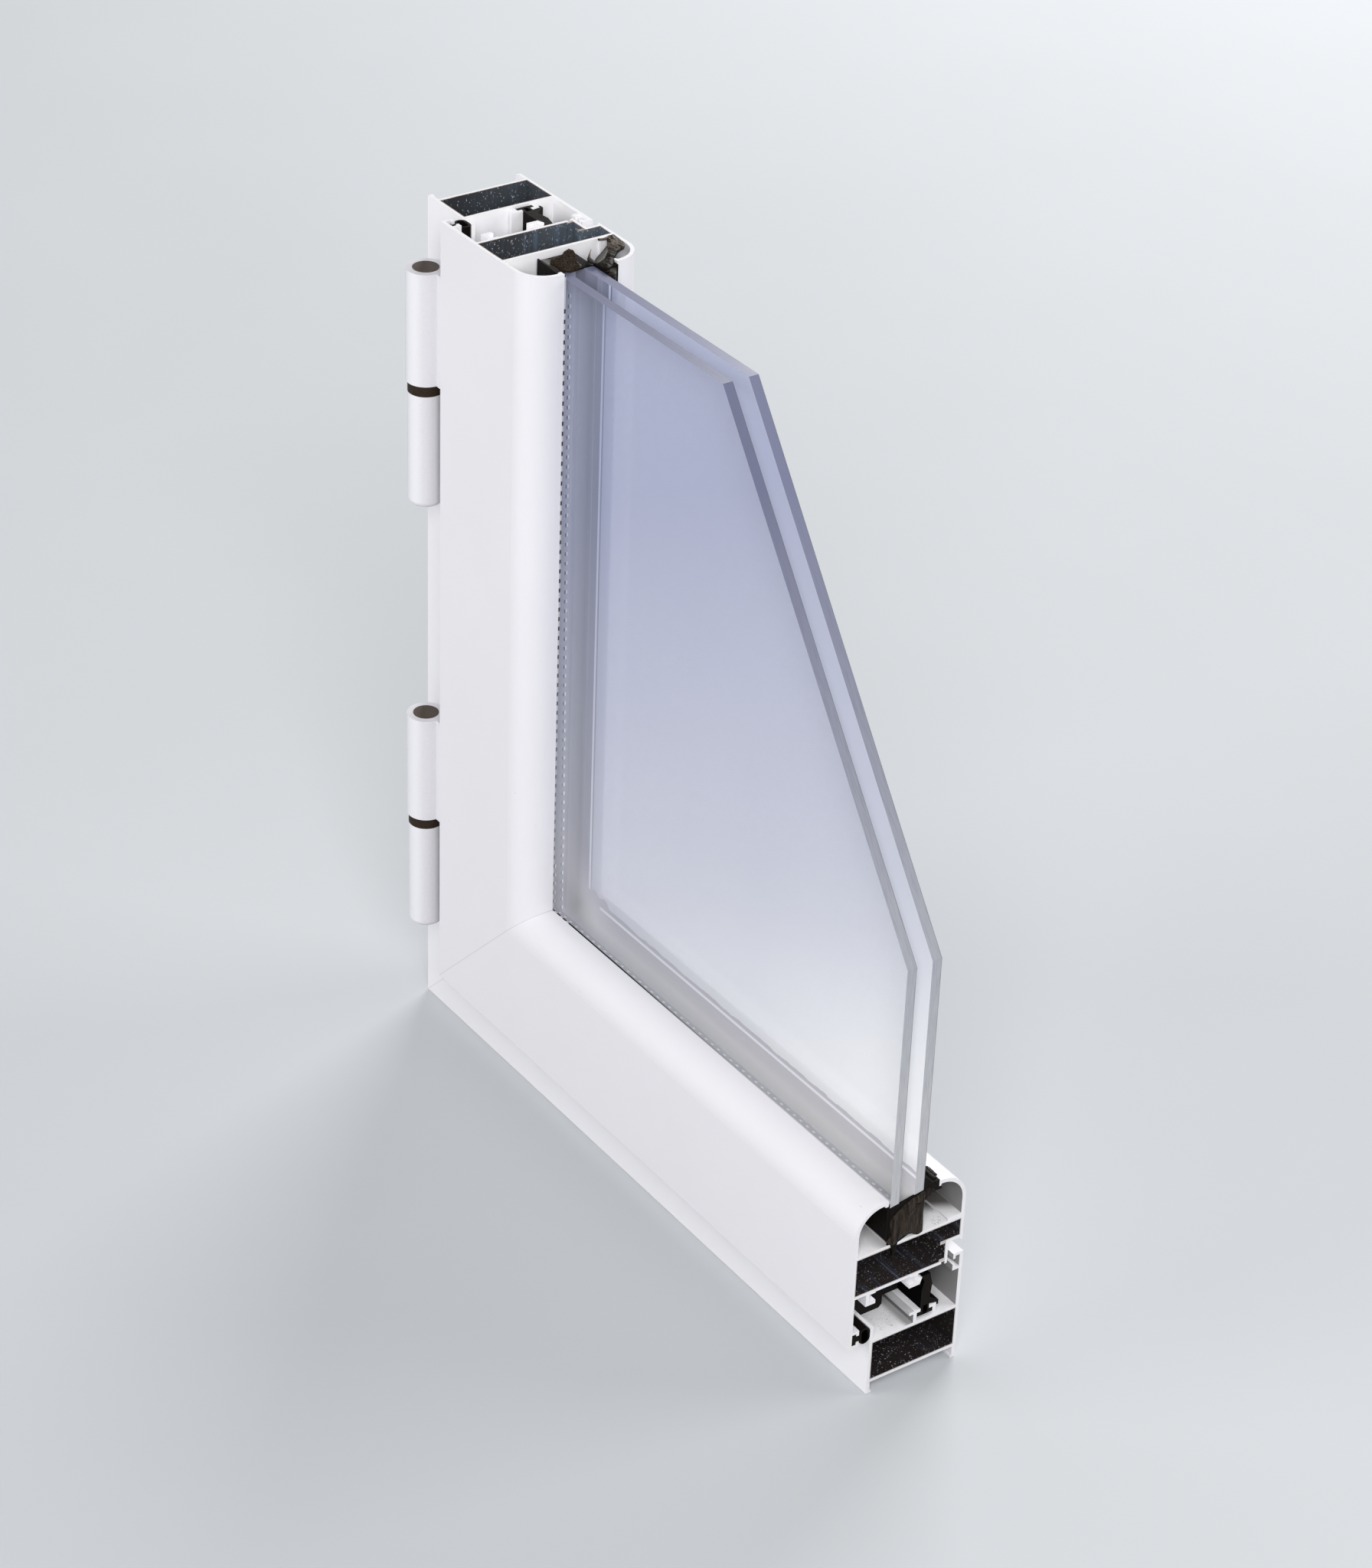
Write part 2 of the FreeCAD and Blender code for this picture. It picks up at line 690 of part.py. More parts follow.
# Block in the cavity between sash and frame, shaped round the lips and ribs beside it
PACKER_NEAR = SASH_INSIDE + " + seal_clearance"
PACKER_FAR = "seal_body_near - seal_clearance"
PACKER_OVER_FLANGE = "flange_groove_top + seal_clearance"
PACKER_UNDER_LIPS = "fittings_lip - seal_clearance"
PACKER_TOP = WEB_UNDER + " - seal_clearance"
packer = body("cavity_packer_rail")
outline = sketch(packer, "YZ_Plane", "packer_start")
polygon(outline, [
    ("packer_near", "frame_face"),
    ("packer_side - packer_corner", "frame_face"),
    ("packer_side", "frame_face + packer_corner"),
    ("packer_side", "seal_rib_top + seal_clearance"),
    (PACKER_FAR, "seal_rib_top + seal_clearance"),
    (PACKER_FAR, PACKER_UNDER_LIPS),
    ("fittings_lip_far - seal_clearance", PACKER_UNDER_LIPS),
    ("fittings_lip_far - seal_clearance", PACKER_TOP),
    ("fittings_lip_near + seal_clearance", PACKER_TOP),
    ("fittings_lip_near + seal_clearance", PACKER_UNDER_LIPS),
    (PACKER_NEAR, PACKER_UNDER_LIPS),
    (PACKER_NEAR, PACKER_OVER_FLANGE),
    ("packer_near", PACKER_OVER_FLANGE),
])
pad(packer, outline, "packer_length")
doc.recompute()


def cleat(label, near, far, low, high):
    """Angle that fills the corner of a chamber, with an open core in each arm."""
    inner = low + " + cleat_clearance"
    outer = high + " - cleat_clearance"
    piece = slab(label, [
        (inner, inner),
        ("cleat_arm", inner),
        ("cleat_arm", outer),
        (outer, outer),
        (outer, "cleat_arm"),
        (inner, "cleat_arm"),
    ], near + " + cleat_clearance", far + " - 2 * cleat_clearance")
    drawing = sketch(piece, "XZ_Plane")
    start = outer + " + cleat_wall"
    stop = "cleat_arm - cleat_wall"
    core_low = inner + " + cleat_wall"
    core_high = outer + " - cleat_wall"
    bar(drawing, start, stop, core_low, core_high)
    bar(drawing, core_low, core_high, start, stop)
    pocket(piece, drawing, "4 * frame_depth", both=True)
    return piece


cleat("frame_corner_cleat", "wall", "frame_depth - 2 * wall", FRAME_FLOOR, FRAME_ROOF)


def sash_cleat():
    """Cleat in the sash chamber, clear of the chamber's step."""
    inner = "leg_step + cleat_clearance"
    outer = "glazing_web - wall - cleat_clearance"
    piece = body("sash_corner_cleat")
    drawing = sketch(piece, "XZ_Plane", "sash_projection - wall - cleat_clearance")
    polygon(drawing, [
        (inner, inner),
        ("leg_step + cleat_arm", inner),
        ("leg_step + cleat_arm", outer),
        (outer, outer),
        (outer, "leg_step + cleat_arm"),
        (inner, "leg_step + cleat_arm"),
    ])
    pad(piece, drawing, "sash_projection - 2 * wall - 2 * cleat_clearance + shelf_near", True)
    doc.recompute()
    core = sketch(piece, "XZ_Plane")
    start = outer + " + cleat_wall"
    stop = "leg_step + cleat_arm - cleat_wall"
    bar(core, start, stop, inner + " + cleat_wall", outer + " - cleat_wall")
    bar(core, inner + " + cleat_wall", outer + " - cleat_wall", start, stop)
    pocket(piece, core, "4 * frame_depth", both=True)
    return piece


sash_cleat()


def hinge(prefix, top):
    """Two knuckles on a common pin, one leaf on the frame and one on the sash."""
    across = "hinge_axis_across"
    forward = "0 - hinge_axis_forward"
    ring_top = top + " - upper_knuckle_height"
    ring_low = ring_top + " - ring_height"
    bottom = ring_low + " - lower_knuckle_height"

    # Upper knuckle with its tongue to the sash flange
    piece = body(prefix + "_sash_leaf")
    drawing = sketch(piece, "XY_Plane", ring_top)
    disc(drawing, across, forward, "hinge_radius")
    pad(piece, drawing, "upper_knuckle_height")
    drawing = sketch(piece, "XY_Plane", ring_top)
    polygon(drawing, [
        (across, "0 - tongue_near"),
        ("frame_face", "0 - tongue_near"),
        ("frame_face", "0 - tongue_far"),
        (across, "0 - tongue_far"),
    ])
    pad(piece, drawing, "upper_knuckle_height")
    doc.recompute()
    drawing = sketch(piece, "XY_Plane", ring_top)
    disc(drawing, across, forward, "pin_radius + pin_clearance")
    pocket(piece, drawing, "upper_knuckle_height - cap_height", reverse=True)
    drawing = sketch(piece, "XY_Plane", top)
    disc(drawing, across, forward, "cap_radius")
    pocket(piece, drawing, "cap_height")

    # Lower knuckle with its leaf on the frame, its bottom rim rounded
    piece = body(prefix + "_frame_leaf")
    drawing = sketch(piece, "XY_Plane", bottom)
    disc(drawing, across, forward, "lower_knuckle_radius")
    knuckle = pad(piece, drawing, "lower_knuckle_height")
    doc.recompute()
    rim = piece.newObject("PartDesign::Fillet", piece.Name + "_rim")
    edges = []
    for count, edge in enumerate(knuckle.Shape.Edges, start=1):
        level = edge.BoundBox.ZMax
        if abs(level - number(bottom)) < number("thin_wall"):
            edges.append("Edge%d" % count)
    rim.Base = (knuckle, edges)
    bind(rim, "Radius", "knuckle_round")
    doc.recompute()
    drawing = sketch(piece, "XY_Plane", bottom + " + leaf_margin")
    polygon(drawing, [
        ("leaf_start", "0 - leaf_thickness"),
        ("leaf_start + leaf_width", "0 - leaf_thickness"),
        ("leaf_start + leaf_width", "0"),
        ("leaf_start", "0"),
    ])
    pad(piece, drawing, "lower_knuckle_height - 2 * leaf_margin")
    doc.recompute()
    drawing = sketch(piece, "XY_Plane", ring_low)
    disc(drawing, across, forward, "pin_radius")
    pocket(piece, drawing, "lower_knuckle_height - pin_seat")

    # Washer ring between the knuckles
    piece = body(prefix + "_ring")
    drawing = sketch(piece, "XY_Plane", ring_low)
    disc(drawing, across, forward, "lower_knuckle_radius")
    disc(drawing, across, forward, "pin_radius + pin_clearance")
    pad(piece, drawing, "ring_height")

    # Pin, seated in the lower knuckle and ending below the cap
    piece = body(prefix + "_pin")
    drawing = sketch(piece, "XY_Plane", bottom + " + pin_seat")
    disc(drawing, across, forward, "pin_radius")
    pad(piece, drawing, "upper_knuckle_height + ring_height + lower_knuckle_height - pin_seat"
        " - cap_height - thin_wall")

    # Cap pressed into the top
    piece = body(prefix + "_cap")
    drawing = sketch(piece, "XY_Plane", top + " - cap_height")
    disc(drawing, across, forward, "cap_radius")
    pad(piece, drawing, "cap_height + cap_proud")


hinge("hinge_upper", "jamb_height - upper_hinge_drop")
hinge("hinge_lower", "lower_hinge_top")
doc.recompute()

# Every object is sound before anything is written
for thing in doc.Objects:
    if "Invalid" in thing.State or "Error" in thing.State:
        raise ValueError("failed: " + thing.Name)
for piece in NODES:
    if piece.Shape.isNull() or not piece.Shape.isValid():
        raise ValueError("no sound solid: " + piece.Label)
    if len(piece.Shape.Solids) != 1:
        raise ValueError("not one solid: " + piece.Label)

os.makedirs("parts", exist_ok=True)
for piece in NODES:
    piece.Shape.exportStep("parts/" + piece.Label + ".step")
    print(piece.Label, round(piece.Shape.Volume, 1), piece.Shape.BoundBox)
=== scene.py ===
"""Finishes, small pieces and studio for a cut corner of a tilt and turn window."""

import math

import bmesh
import bpy
from mathutils import Matrix, Vector, noise


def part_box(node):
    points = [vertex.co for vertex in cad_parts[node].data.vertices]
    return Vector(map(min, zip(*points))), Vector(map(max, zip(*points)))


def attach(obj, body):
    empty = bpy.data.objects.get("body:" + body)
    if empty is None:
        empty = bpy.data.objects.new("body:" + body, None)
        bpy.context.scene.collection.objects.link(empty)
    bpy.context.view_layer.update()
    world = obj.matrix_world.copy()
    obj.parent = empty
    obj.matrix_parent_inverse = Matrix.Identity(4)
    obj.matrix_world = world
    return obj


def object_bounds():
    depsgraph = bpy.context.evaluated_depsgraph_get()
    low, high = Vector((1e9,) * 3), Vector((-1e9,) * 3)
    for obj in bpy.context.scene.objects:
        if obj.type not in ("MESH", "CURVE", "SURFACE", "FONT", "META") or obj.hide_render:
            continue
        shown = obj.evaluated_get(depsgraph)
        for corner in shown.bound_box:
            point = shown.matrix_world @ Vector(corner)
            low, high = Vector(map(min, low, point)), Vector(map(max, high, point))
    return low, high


bl_info = {
    "name": "Window corner sample",
    "version": (1, 0, 0),
    "blender": (4, 5, 0),
    "location": "View3D > Sidebar > Window",
    "description": "Dresses the cut corner of a tilt and turn window and sets up its studio",
    "category": "Object",
}

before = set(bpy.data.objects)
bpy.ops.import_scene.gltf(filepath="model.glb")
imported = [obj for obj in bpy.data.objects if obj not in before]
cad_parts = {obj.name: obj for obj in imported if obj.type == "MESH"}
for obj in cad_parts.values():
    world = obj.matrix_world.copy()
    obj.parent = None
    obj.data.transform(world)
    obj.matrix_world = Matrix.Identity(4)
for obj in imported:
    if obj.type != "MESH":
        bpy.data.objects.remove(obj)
CAD_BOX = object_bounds()

MM = 0.001
OUTER_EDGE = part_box("frame_jamb")[0].x
ROOM_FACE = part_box("frame_sill")[0].y
CUT_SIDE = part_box("frame_sill")[1].x
SASH_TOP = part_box("sash_stile")[1].z
FRAME_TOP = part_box("frame_jamb")[1].z
GLASS_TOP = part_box("glass_pane_near")[1].z
NEAR_PANE = (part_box("glass_pane_near")[0].y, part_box("glass_pane_near")[1].y)
FAR_PANE = (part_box("glass_pane_far")[0].y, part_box("glass_pane_far")[1].y)

WHITE_COAT = (0.81, 0.797, 0.828)
UP_AXIS = Vector((0.0, 0.0, 1.0))


def depth(millimetres):
    """Y of a depth behind the room-side face of the frame."""
    return ROOM_FACE + millimetres * MM


def inward(millimetres):
    """X of a distance in from the frame's outer edge."""
    return OUTER_EDGE + millimetres * MM


# Settings shown in the panel


def colour(name, description, default):
    return bpy.props.FloatVectorProperty(
        name=name, description=description, default=default,
        subtype="COLOR", size=3, min=0.0, max=1.0)


def share(name, description, default):
    return bpy.props.FloatProperty(
        name=name, description=description, default=default,
        subtype="FACTOR", min=0.0, max=1.0)


def distance(name, description, default):
    return bpy.props.FloatProperty(
        name=name, description=description, default=default,
        subtype="DISTANCE", unit="LENGTH")


class CoatSettings(bpy.types.PropertyGroup):
    """Powder coat, sawn ends and bare chambers of the profiles."""

    coat: colour("Coat", "Powder coat of the profiles", WHITE_COAT)
    coat_roughness: share("Coat roughness", "Roughness of the powder coat", 0.48)
    sawn: colour("Sawn end", "Metal laid bare by the saw", (0.80, 0.795, 0.82))
    sawn_warm: colour("Sawn end, warm", "Warm tint in the sawn metal", (0.78, 0.745, 0.715))
    # painted shade: dark chamber tints for the shade inside them, paler at the far side of the
    # uprights
    stile_chamber_shade: colour("Upright chambers", "Uncoated metal inside the upright members",
                       (0.046, 0.049, 0.056))
    rail_chamber_shade: colour("Lying chambers", "Uncoated metal inside the lying members",
                      (0.026, 0.0205, 0.0205))
    stile_chamber_far_shade: colour("Upright chambers, far side", "The same metal towards the far side",
                     (0.098, 0.118, 0.140))
    die_line: colour("Die lines", "Bright lines along the chambers", (0.130, 0.185, 0.275))


class GlassSettings(bpy.types.PropertyGroup):
    """Tint of the sealed unit."""

    upper: colour("Upper tint", "Tint high on the panes", (0.410, 0.435, 0.595))
    lower: colour("Lower tint", "Tint low on the panes", (0.765, 0.775, 0.815))
    edge_upper: colour("Upper edge", "Cut edges of the panes, high", (0.130, 0.142, 0.235))
    edge_lower: colour("Lower edge", "Cut edges of the panes, low", (0.47, 0.475, 0.495))
    band_upper: colour("Upper band", "Rubber seen through the panes, high",
                       (0.285, 0.31, 0.425))
    band_lower: colour("Lower band", "Rubber seen through the panes, low",
                       (0.615, 0.595, 0.655))
    veil: share("Veil", "How much the near pane hides", 0.03)
    upper_height: distance("Upper tint height", "Height where the upper tint is full", 0.215)
    lower_height: distance("Lower tint height", "Height where the lower tint is full", -0.045)


class RubberSettings(bpy.types.PropertyGroup):
    """Gaskets and sealant."""

    rubber: colour("Rubber", "Rubber of the gaskets", (0.0050, 0.0038, 0.0031))
    sealant: colour("Sealant", "Sealant around the glass unit", (0.0150, 0.0102, 0.0068))


class HingeSettings(bpy.types.PropertyGroup):
    """Hinges."""

    coat: colour("Coat", "Powder coat of the knuckles", (0.70, 0.69, 0.72))
    plastic: colour("Caps", "Plastic of the caps", (0.058, 0.042, 0.032))
    ring: colour("Rings", "Plastic of the rings", (0.021, 0.0115, 0.0065))


class StudioSettings(bpy.types.PropertyGroup):
    """Floor, lamps and camera."""

    floor: colour("Floor", "Floor and backdrop", (0.56, 0.58, 0.60))
    ambient: bpy.props.FloatProperty(
        name="Ambient", description="Strength of the even light", default=0.285, min=0.0)
    key: bpy.props.FloatProperty(
        name="Key", description="Power of the large lamp", default=25.5, min=0.0,
        subtype="POWER")
    fill: bpy.props.FloatProperty(
        name="Fill", description="Power of the side lamp", default=47.0, min=0.0,
        subtype="POWER")
    back: bpy.props.FloatProperty(
        name="Back", description="Power of the lamp behind the sample", default=55.0, min=0.0,
        subtype="POWER")
    rear: bpy.props.FloatProperty(
        name="Rear", description="Power of the lamp behind the cut ends", default=26.0, min=0.0,
        subtype="POWER")
    lens: bpy.props.FloatProperty(
        name="Lens", description="Focal length of the camera in millimetres",
        default=92.985, min=1.0)


# Shader sheets: node graphs written as expressions


class Wire:
    """A socket that adds its Math nodes when it is used in arithmetic."""

    def __init__(self, sheet, socket):
        self.sheet = sheet
        self.socket = socket

    def pin(self, name):
        """Another output of the same node."""
        return Wire(self.sheet, self.socket.node.outputs[name])

    def math(self, operation, *values):
        sockets = dict(enumerate(values))
        return self.sheet.node("ShaderNodeMath", {"operation": operation}, sockets)

    def __add__(self, other):
        return self.math("ADD", self, other)

    __radd__ = __add__

    def __sub__(self, other):
        return self.math("SUBTRACT", self, other)

    def __rsub__(self, other):
        return self.math("SUBTRACT", other, self)

    def __mul__(self, other):
        return self.math("MULTIPLY", self, other)

    __rmul__ = __mul__

    def __truediv__(self, other):
        return self.math("DIVIDE", self, other)

    def __gt__(self, other):
        return self.math("GREATER_THAN", self, other)

    def __lt__(self, other):
        return self.math("LESS_THAN", self, other)

    def __abs__(self):
        return self.math("ABSOLUTE", self)

    def __or__(self, other):
        return self.math("MAXIMUM", self, other)

    def __and__(self, other):
        return self.math("MINIMUM", self, other)

    def __mod__(self, other):
        return self.math("FLOORED_MODULO", self, other)


class Sheet:
    """Node sheet of one material."""

    def __init__(self, name):
        self.material = bpy.data.materials.new(name)
        self.material.use_nodes = True
        self.tree = self.material.node_tree
        self.tree.nodes.clear()

    def node(self, kind, settings=None, sockets=None, output=0):
        """Adds a node: first its settings, then the values or links of its sockets."""
        node = self.tree.nodes.new(kind)
        for name, value in (settings or {}).items():
            if name == "stops":
                self.fill_ramp(node.color_ramp, value)
            else:
                setattr(node, name, value)
        for name, value in (sockets or {}).items():
            if isinstance(value, Wire):
                self.tree.links.new(value.socket, node.inputs[name])
            else:
                node.inputs[name].default_value = value
        return Wire(self, node.outputs[output]) if node.outputs else None

    def fill_ramp(self, ramp, stops):
        while len(ramp.elements) < len(stops):
            ramp.elements.new(1.0)
        for element, (position, tint) in zip(ramp.elements, stops):
            element.position = position
            element.color = opaque(tint)

    def place(self):
        """Object coordinates as three wires, in millimetres."""
        corner = self.node("ShaderNodeTexCoord", output="Object")
        scaled = self.node("ShaderNodeVectorMath", {"operation": "SCALE"},
                           {0: corner, "Scale": 1.0 / MM})
        axes = self.node("ShaderNodeSeparateXYZ", None, {0: scaled})
        return scaled, axes.pin("X"), axes.pin("Y"), axes.pin("Z")

    def facing(self):
        """Object space normal as three wires."""
        normal = self.node("ShaderNodeTexCoord", output="Normal")
        axes = self.node("ShaderNodeSeparateXYZ", None, {0: normal})
        return axes.pin("X"), axes.pin("Y"), axes.pin("Z")

    def stretch(self, vector, scale):
        return self.node("ShaderNodeMapping", None, {"Vector": vector, "Scale": scale})

    def noise(self, vector, scale, detail=2.0, roughness=0.5):
        return self.node("ShaderNodeTexNoise", None, {
            "Vector": vector, "Scale": scale, "Detail": detail, "Roughness": roughness})

    def mix(self, factor, first, second):
        return self.node("ShaderNodeMix", {"data_type": "RGBA"}, {
            0: factor, 6: opaque(first), 7: opaque(second)}, output=2)

    def ease(self, value, low, high, start=0.0, stop=1.0):
        """Value carried smoothly from one range to another and held at the ends."""
        return self.node("ShaderNodeMapRange", {"interpolation_type": "SMOOTHSTEP"}, {
            "Value": value, "From Min": low, "From Max": high,
            "To Min": start, "To Max": stop})

    def bump(self, height, reach, strength=1.0):
        return self.node("ShaderNodeBump", None, {
            "Height": height, "Distance": reach, "Strength": strength})

    def surface(self, **sockets):
        """Principled surface; names of sockets are written with underscores."""
        values = {name.replace("_", " "): value for name, value in sockets.items()}
        if "Base Color" in values:
            values["Base Color"] = opaque(values["Base Color"])
        shader = self.node("ShaderNodeBsdfPrincipled", None, values)
        self.node("ShaderNodeOutputMaterial", None, {"Surface": shader})
        return self.material


def opaque(tint):
    if isinstance(tint, Wire):
        return tint
    return (tint[0], tint[1], tint[2], 1.0)


def within(value, low, high):
    """1 between two limits, 0 outside."""
    return (value > low) * (value < high)


# Finishes

SEEN_DEPTH = 0.4
FRAME_CHAMBERS = [(1.5, 38.5, 6.5, 22.8)]
SASH_CHAMBERS = [(-8.0, 31.3, 47.8, 63.6), (29.0, 37.5, 56.7, 63.6)]
BURR = 0.34
RECESS_FLOORS = [(7.0, 17.0, 22.0, 26.0), (26.0, 38.0, 64.5, 66.0)]
DUST_REACH = 30.0
WALLS = [(30.0, 38.6, 23.0, 60.0, 0.86), (17.0, 20.0, 23.2, 28.2, 0.92),
         (17.0, 17.8, 28.2, 29.5, 0.55), (32.0, 38.9, 65.5, 84.7, 0.84),
         (26.0, 32.0, 64.0, 68.0, 0.35),
         (3.0, 5.2, 64.6, 82.0, 0.98)]
RIB_TOP = (17.0, 19.6, 29.0, 29.8)
RIB_FOOT = (14.6, 19.4, 22.0, 25.0)
BEAD_FLOOR = (24.0, 38.6, 64.2, 70.0)
BEAD_FLOOR_LIT = (8.3, 27.7, 0.55)
ROOM_FLOOR = (-6.0, 5.0, 64.2, 66.5)
RECESSES = [(-0.6, 38.6, 23.4, 47.4), (-7.4, 38.0, 63.9, 67.0)]


def recess_dust_and_shade(sheet, place, u, v, along, end, faces_in):
    """How much sawdust, partly standing for painted shade, flecks the floors of the recesses near
    the sawn end.
    """
    fine = sheet.noise(place, 1.7, 3.0, 0.7)
    drift = sheet.noise(place, 0.14, 2.0, 0.6)
    floors = None
    for near, far, low, high in RECESS_FLOORS:
        floor = within(u, near, far) * within(v, low, high)
        floors = floor if floors is None else floors | floor
    depth_in = sheet.ease(end / MM - along, 0.0, DUST_REACH, 1.0, 0.4)
    lying = sheet.ease(faces_in, 0.4, 0.7)
    spread = sheet.ease(fine, 0.53, 0.62) * sheet.ease(drift, 0.46, 0.64)
    return floors * lying * depth_in * spread


def recess_shade(sheet, u, v, along, end, toward_back, up):
    """How dark the recesses of a lying member are: walls that look towards the room, the
    rib's top, and the floors where little light gets in."""
    inside = end / MM - along
    shade = None
    for near, far, low, high, amount in WALLS:
        wall = within(u, near, far) * within(v, low, high) * amount
        shade = wall if shade is None else shade | wall
    shade = shade * (toward_back < -0.4) * sheet.ease(inside, 0.0, 22.0, 0.88, 1.0)
    rib = within(u, *RIB_TOP[:2]) * within(v, *RIB_TOP[2:]) * 0.4
    foot = within(u, *RIB_FOOT[:2]) * within(v, *RIB_FOOT[2:]) * sheet.ease(
        u, RIB_FOOT[0], RIB_FOOT[0] + 3.0, 0.0, 0.6)
    reach, start, slope = BEAD_FLOOR_LIT
    lit = along - (end / MM - reach) - (u - start) * slope
    far_floor = within(u, *BEAD_FLOOR[:2]) * within(v, *BEAD_FLOOR[2:]) * sheet.ease(
        lit, -5.5, 2.0, 0.93, 0.0)
    near_floor = within(u, *ROOM_FLOOR[:2]) * within(v, *ROOM_FLOOR[2:]) * (
        sheet.ease(u, -1.0, 4.5, 0.0, 0.35) + sheet.ease(inside, 2.0, 25.0, 0.0, 0.45))
    return shade | (rib | foot | far_floor | near_floor) * (up > 0.5)


def profile_finish(name, upright, chambers, end, look, streaks_and_light=1.0):
    """Powder coat outside, brushed bare metal in the chambers, sawn metal at the end."""
    sheet = Sheet(name)
    place, x, y, z = sheet.place()
    u = y - ROOM_FACE / MM
    v = x - OUTER_EDGE / MM if upright else z
    along = z if upright else x

    # the coat: faint orange peel and a few specks
    peel = sheet.noise(place, 1.6, 2.0, 0.55)
    cloud = sheet.noise(place, 0.02, 2.0)
    dust = sheet.noise(place, 0.5, 1.0)
    speck = sheet.ease(dust, 0.80, 0.82)
    coat = sheet.mix(sheet.ease(cloud, 0.35, 0.7, 0.0, 0.35), look.coat,
                     tuple(0.965 * part for part in look.coat))
    coat = sheet.mix(speck * 0.3, coat, (0.45, 0.44, 0.45))

    # painted light: the recesses are painted paler, for the light thrown from wall to wall
    pale = None
    for near, far, low, high in RECESSES:
        recess = within(u, near, far) * within(v, low, high)
        pale = recess if pale is None else pale | recess
    coat = sheet.mix(pale * 0.9, coat, (0.97, 0.965, 0.985))
    # painted light: the frame's face towards the room is painted paler
    if chambers == FRAME_CHAMBERS:
        coat = sheet.mix((u < 0.05) * 0.4, coat, (0.97, 0.965, 0.985))

    # the mitre joint shows as a hairline
    seam = abs((x - OUTER_EDGE / MM) - z)
    seam = sheet.ease(seam, 0.07, 0.28, 0.42, 0.0)
    coat = sheet.mix(seam, coat, (0.36, 0.35, 0.37))
    if not upright:
        _, toward_back, up = sheet.facing()
        coat = sheet.mix(recess_shade(sheet, u, v, along, end, toward_back, up), coat,
                         (0.055, 0.050, 0.044))
        # sawdust on the recess floors, partly painted shade
        dust_and_shade = recess_dust_and_shade(sheet, place, u, v, along, end, up)
        coat = sheet.mix(dust_and_shade * 0.55, coat, (0.13, 0.105, 0.085))

    # the chambers: dark tints that are painted shade, paler towards the far side of the uprights
    # and darker in the frame, with die lines along the member, dimmer in the lying members,
    # and swarf stuck to them
    bare = look.stile_chamber_shade if upright else look.rail_chamber_shade
    run = (0.8, 0.8, 0.03) if upright else (0.03, 0.8, 0.8)
    broad = (0.22, 0.22, 0.02) if upright else (0.02, 0.22, 0.22)
    lines = sheet.noise(sheet.stretch(place, run), 1.0, 4.0, 0.65)
    swathes = sheet.noise(sheet.stretch(place, broad), 1.0, 2.0, 0.5)
    swarf = sheet.noise(sheet.stretch(place, (1.0, 1.0, 0.55)), 1.6, 2.0, 0.6)
    streak = sheet.ease(lines, 0.46, 0.70) * sheet.ease(swathes, 0.44, 0.60)
    streak = streak * (sheet.ease(u, 0.0, 26.0, 0.25, 1.0) if upright else 1.0) * streaks_and_light
    bare = tuple((0.7 + 0.3 * streaks_and_light) * part for part in bare)
    if upright:
        bare = sheet.mix(sheet.ease(u, 0.0, 34.0) * (0.2 + 0.8 * streaks_and_light), bare, look.stile_chamber_far_shade)
    shine = look.die_line if upright else tuple(0.6 * part for part in look.die_line)
    metal = sheet.mix(streak, bare, shine)
    metal = sheet.mix(sheet.ease(swarf, 0.66, 0.675), metal, (0.55, 0.57, 0.62))
    dots = sheet.node("ShaderNodeTexVoronoi", None, {"Vector": place, "Scale": 0.45})
    metal = sheet.mix((dots < 0.085) * 0.8, metal, (0.50, 0.51, 0.55))
    inside = None
    burr = None
    for near, far, low, high in chambers:
        box = (within(u, near - SEEN_DEPTH, far + SEEN_DEPTH)
               * within(v, low - SEEN_DEPTH, high + SEEN_DEPTH))
        inside = box if inside is None else inside | box
        edge = within(u, near - BURR, far + BURR) * within(v, low - BURR, high + BURR)
        burr = edge if burr is None else burr | edge

    # the sawn end
    cut = along > end / MM - 0.04
    saw = (0.12, 0.5, 1.0) if upright else (1.0, 0.5, 0.12)
    marks = sheet.noise(sheet.stretch(place, saw), 1.2, 3.0, 0.6)
    warm = sheet.noise(place, 0.09, 2.0, 0.6)
    sawn = sheet.mix(sheet.ease(marks, 0.35, 0.7, 0.0, 0.5), look.sawn,
                     tuple(0.9 * part for part in look.sawn))
    sawn = sheet.mix(sheet.ease(warm, 0.52, 0.66, 0.0, 0.45), sawn, look.sawn_warm)

    if burr:
        brown = sheet.ease(warm, 0.3, 0.6, 0.55, 1.0) if upright else 0.5
        sawn = sheet.mix(burr * brown, sawn, (0.17, 0.10, 0.06))
    tint = sheet.mix(inside, coat, metal) if inside else coat
    rough = look.coat_roughness
    if inside:
        rough = inside * (0.34 - rough) + rough
    tint = sheet.mix(cut, tint, sawn)
    rough = cut * (0.45 - rough) + rough
    return sheet.surface(
        Base_Color=tint, Roughness=rough, Specular_IOR_Level=0.3,
        Normal=sheet.bump(peel, 0.00003, 0.35))


# Places on the glass in millimetres, in from the outer edges of the jamb and the sill.
# The rubber behind the far pane shows as a band, with one pale line in its two arms.

SMEAR_TOP = 80.1
SMEAR_END = 300.0
PACKED_EDGES = [(6.0, 7.7), (16.9, 17.7)]
BAND_UPRIGHT = 94.7
BAND_LYING = 93.2
LINE_UPRIGHT = (92.6, 93.8)
LINE_LYING = (90.1, 91.4)
LINE_CORNER = (100.5, 95.4)
FAINT_UPRIGHT = (87.9, 88.5)
FAINT_LYING = (85.5, 86.1)
BAND_ROOT = 77.5
OVER_NEAR_PANE = 341.5
OVER_SHIFT = 3.4
DARK_PATCH = (88.8, 343.2)
SOFT_EDGE = 106.4
BLOBS = [(96.6, 93.4, 3.2), (100.2, 92.2, 2.8), (103.4, 92.9, 3.1)]


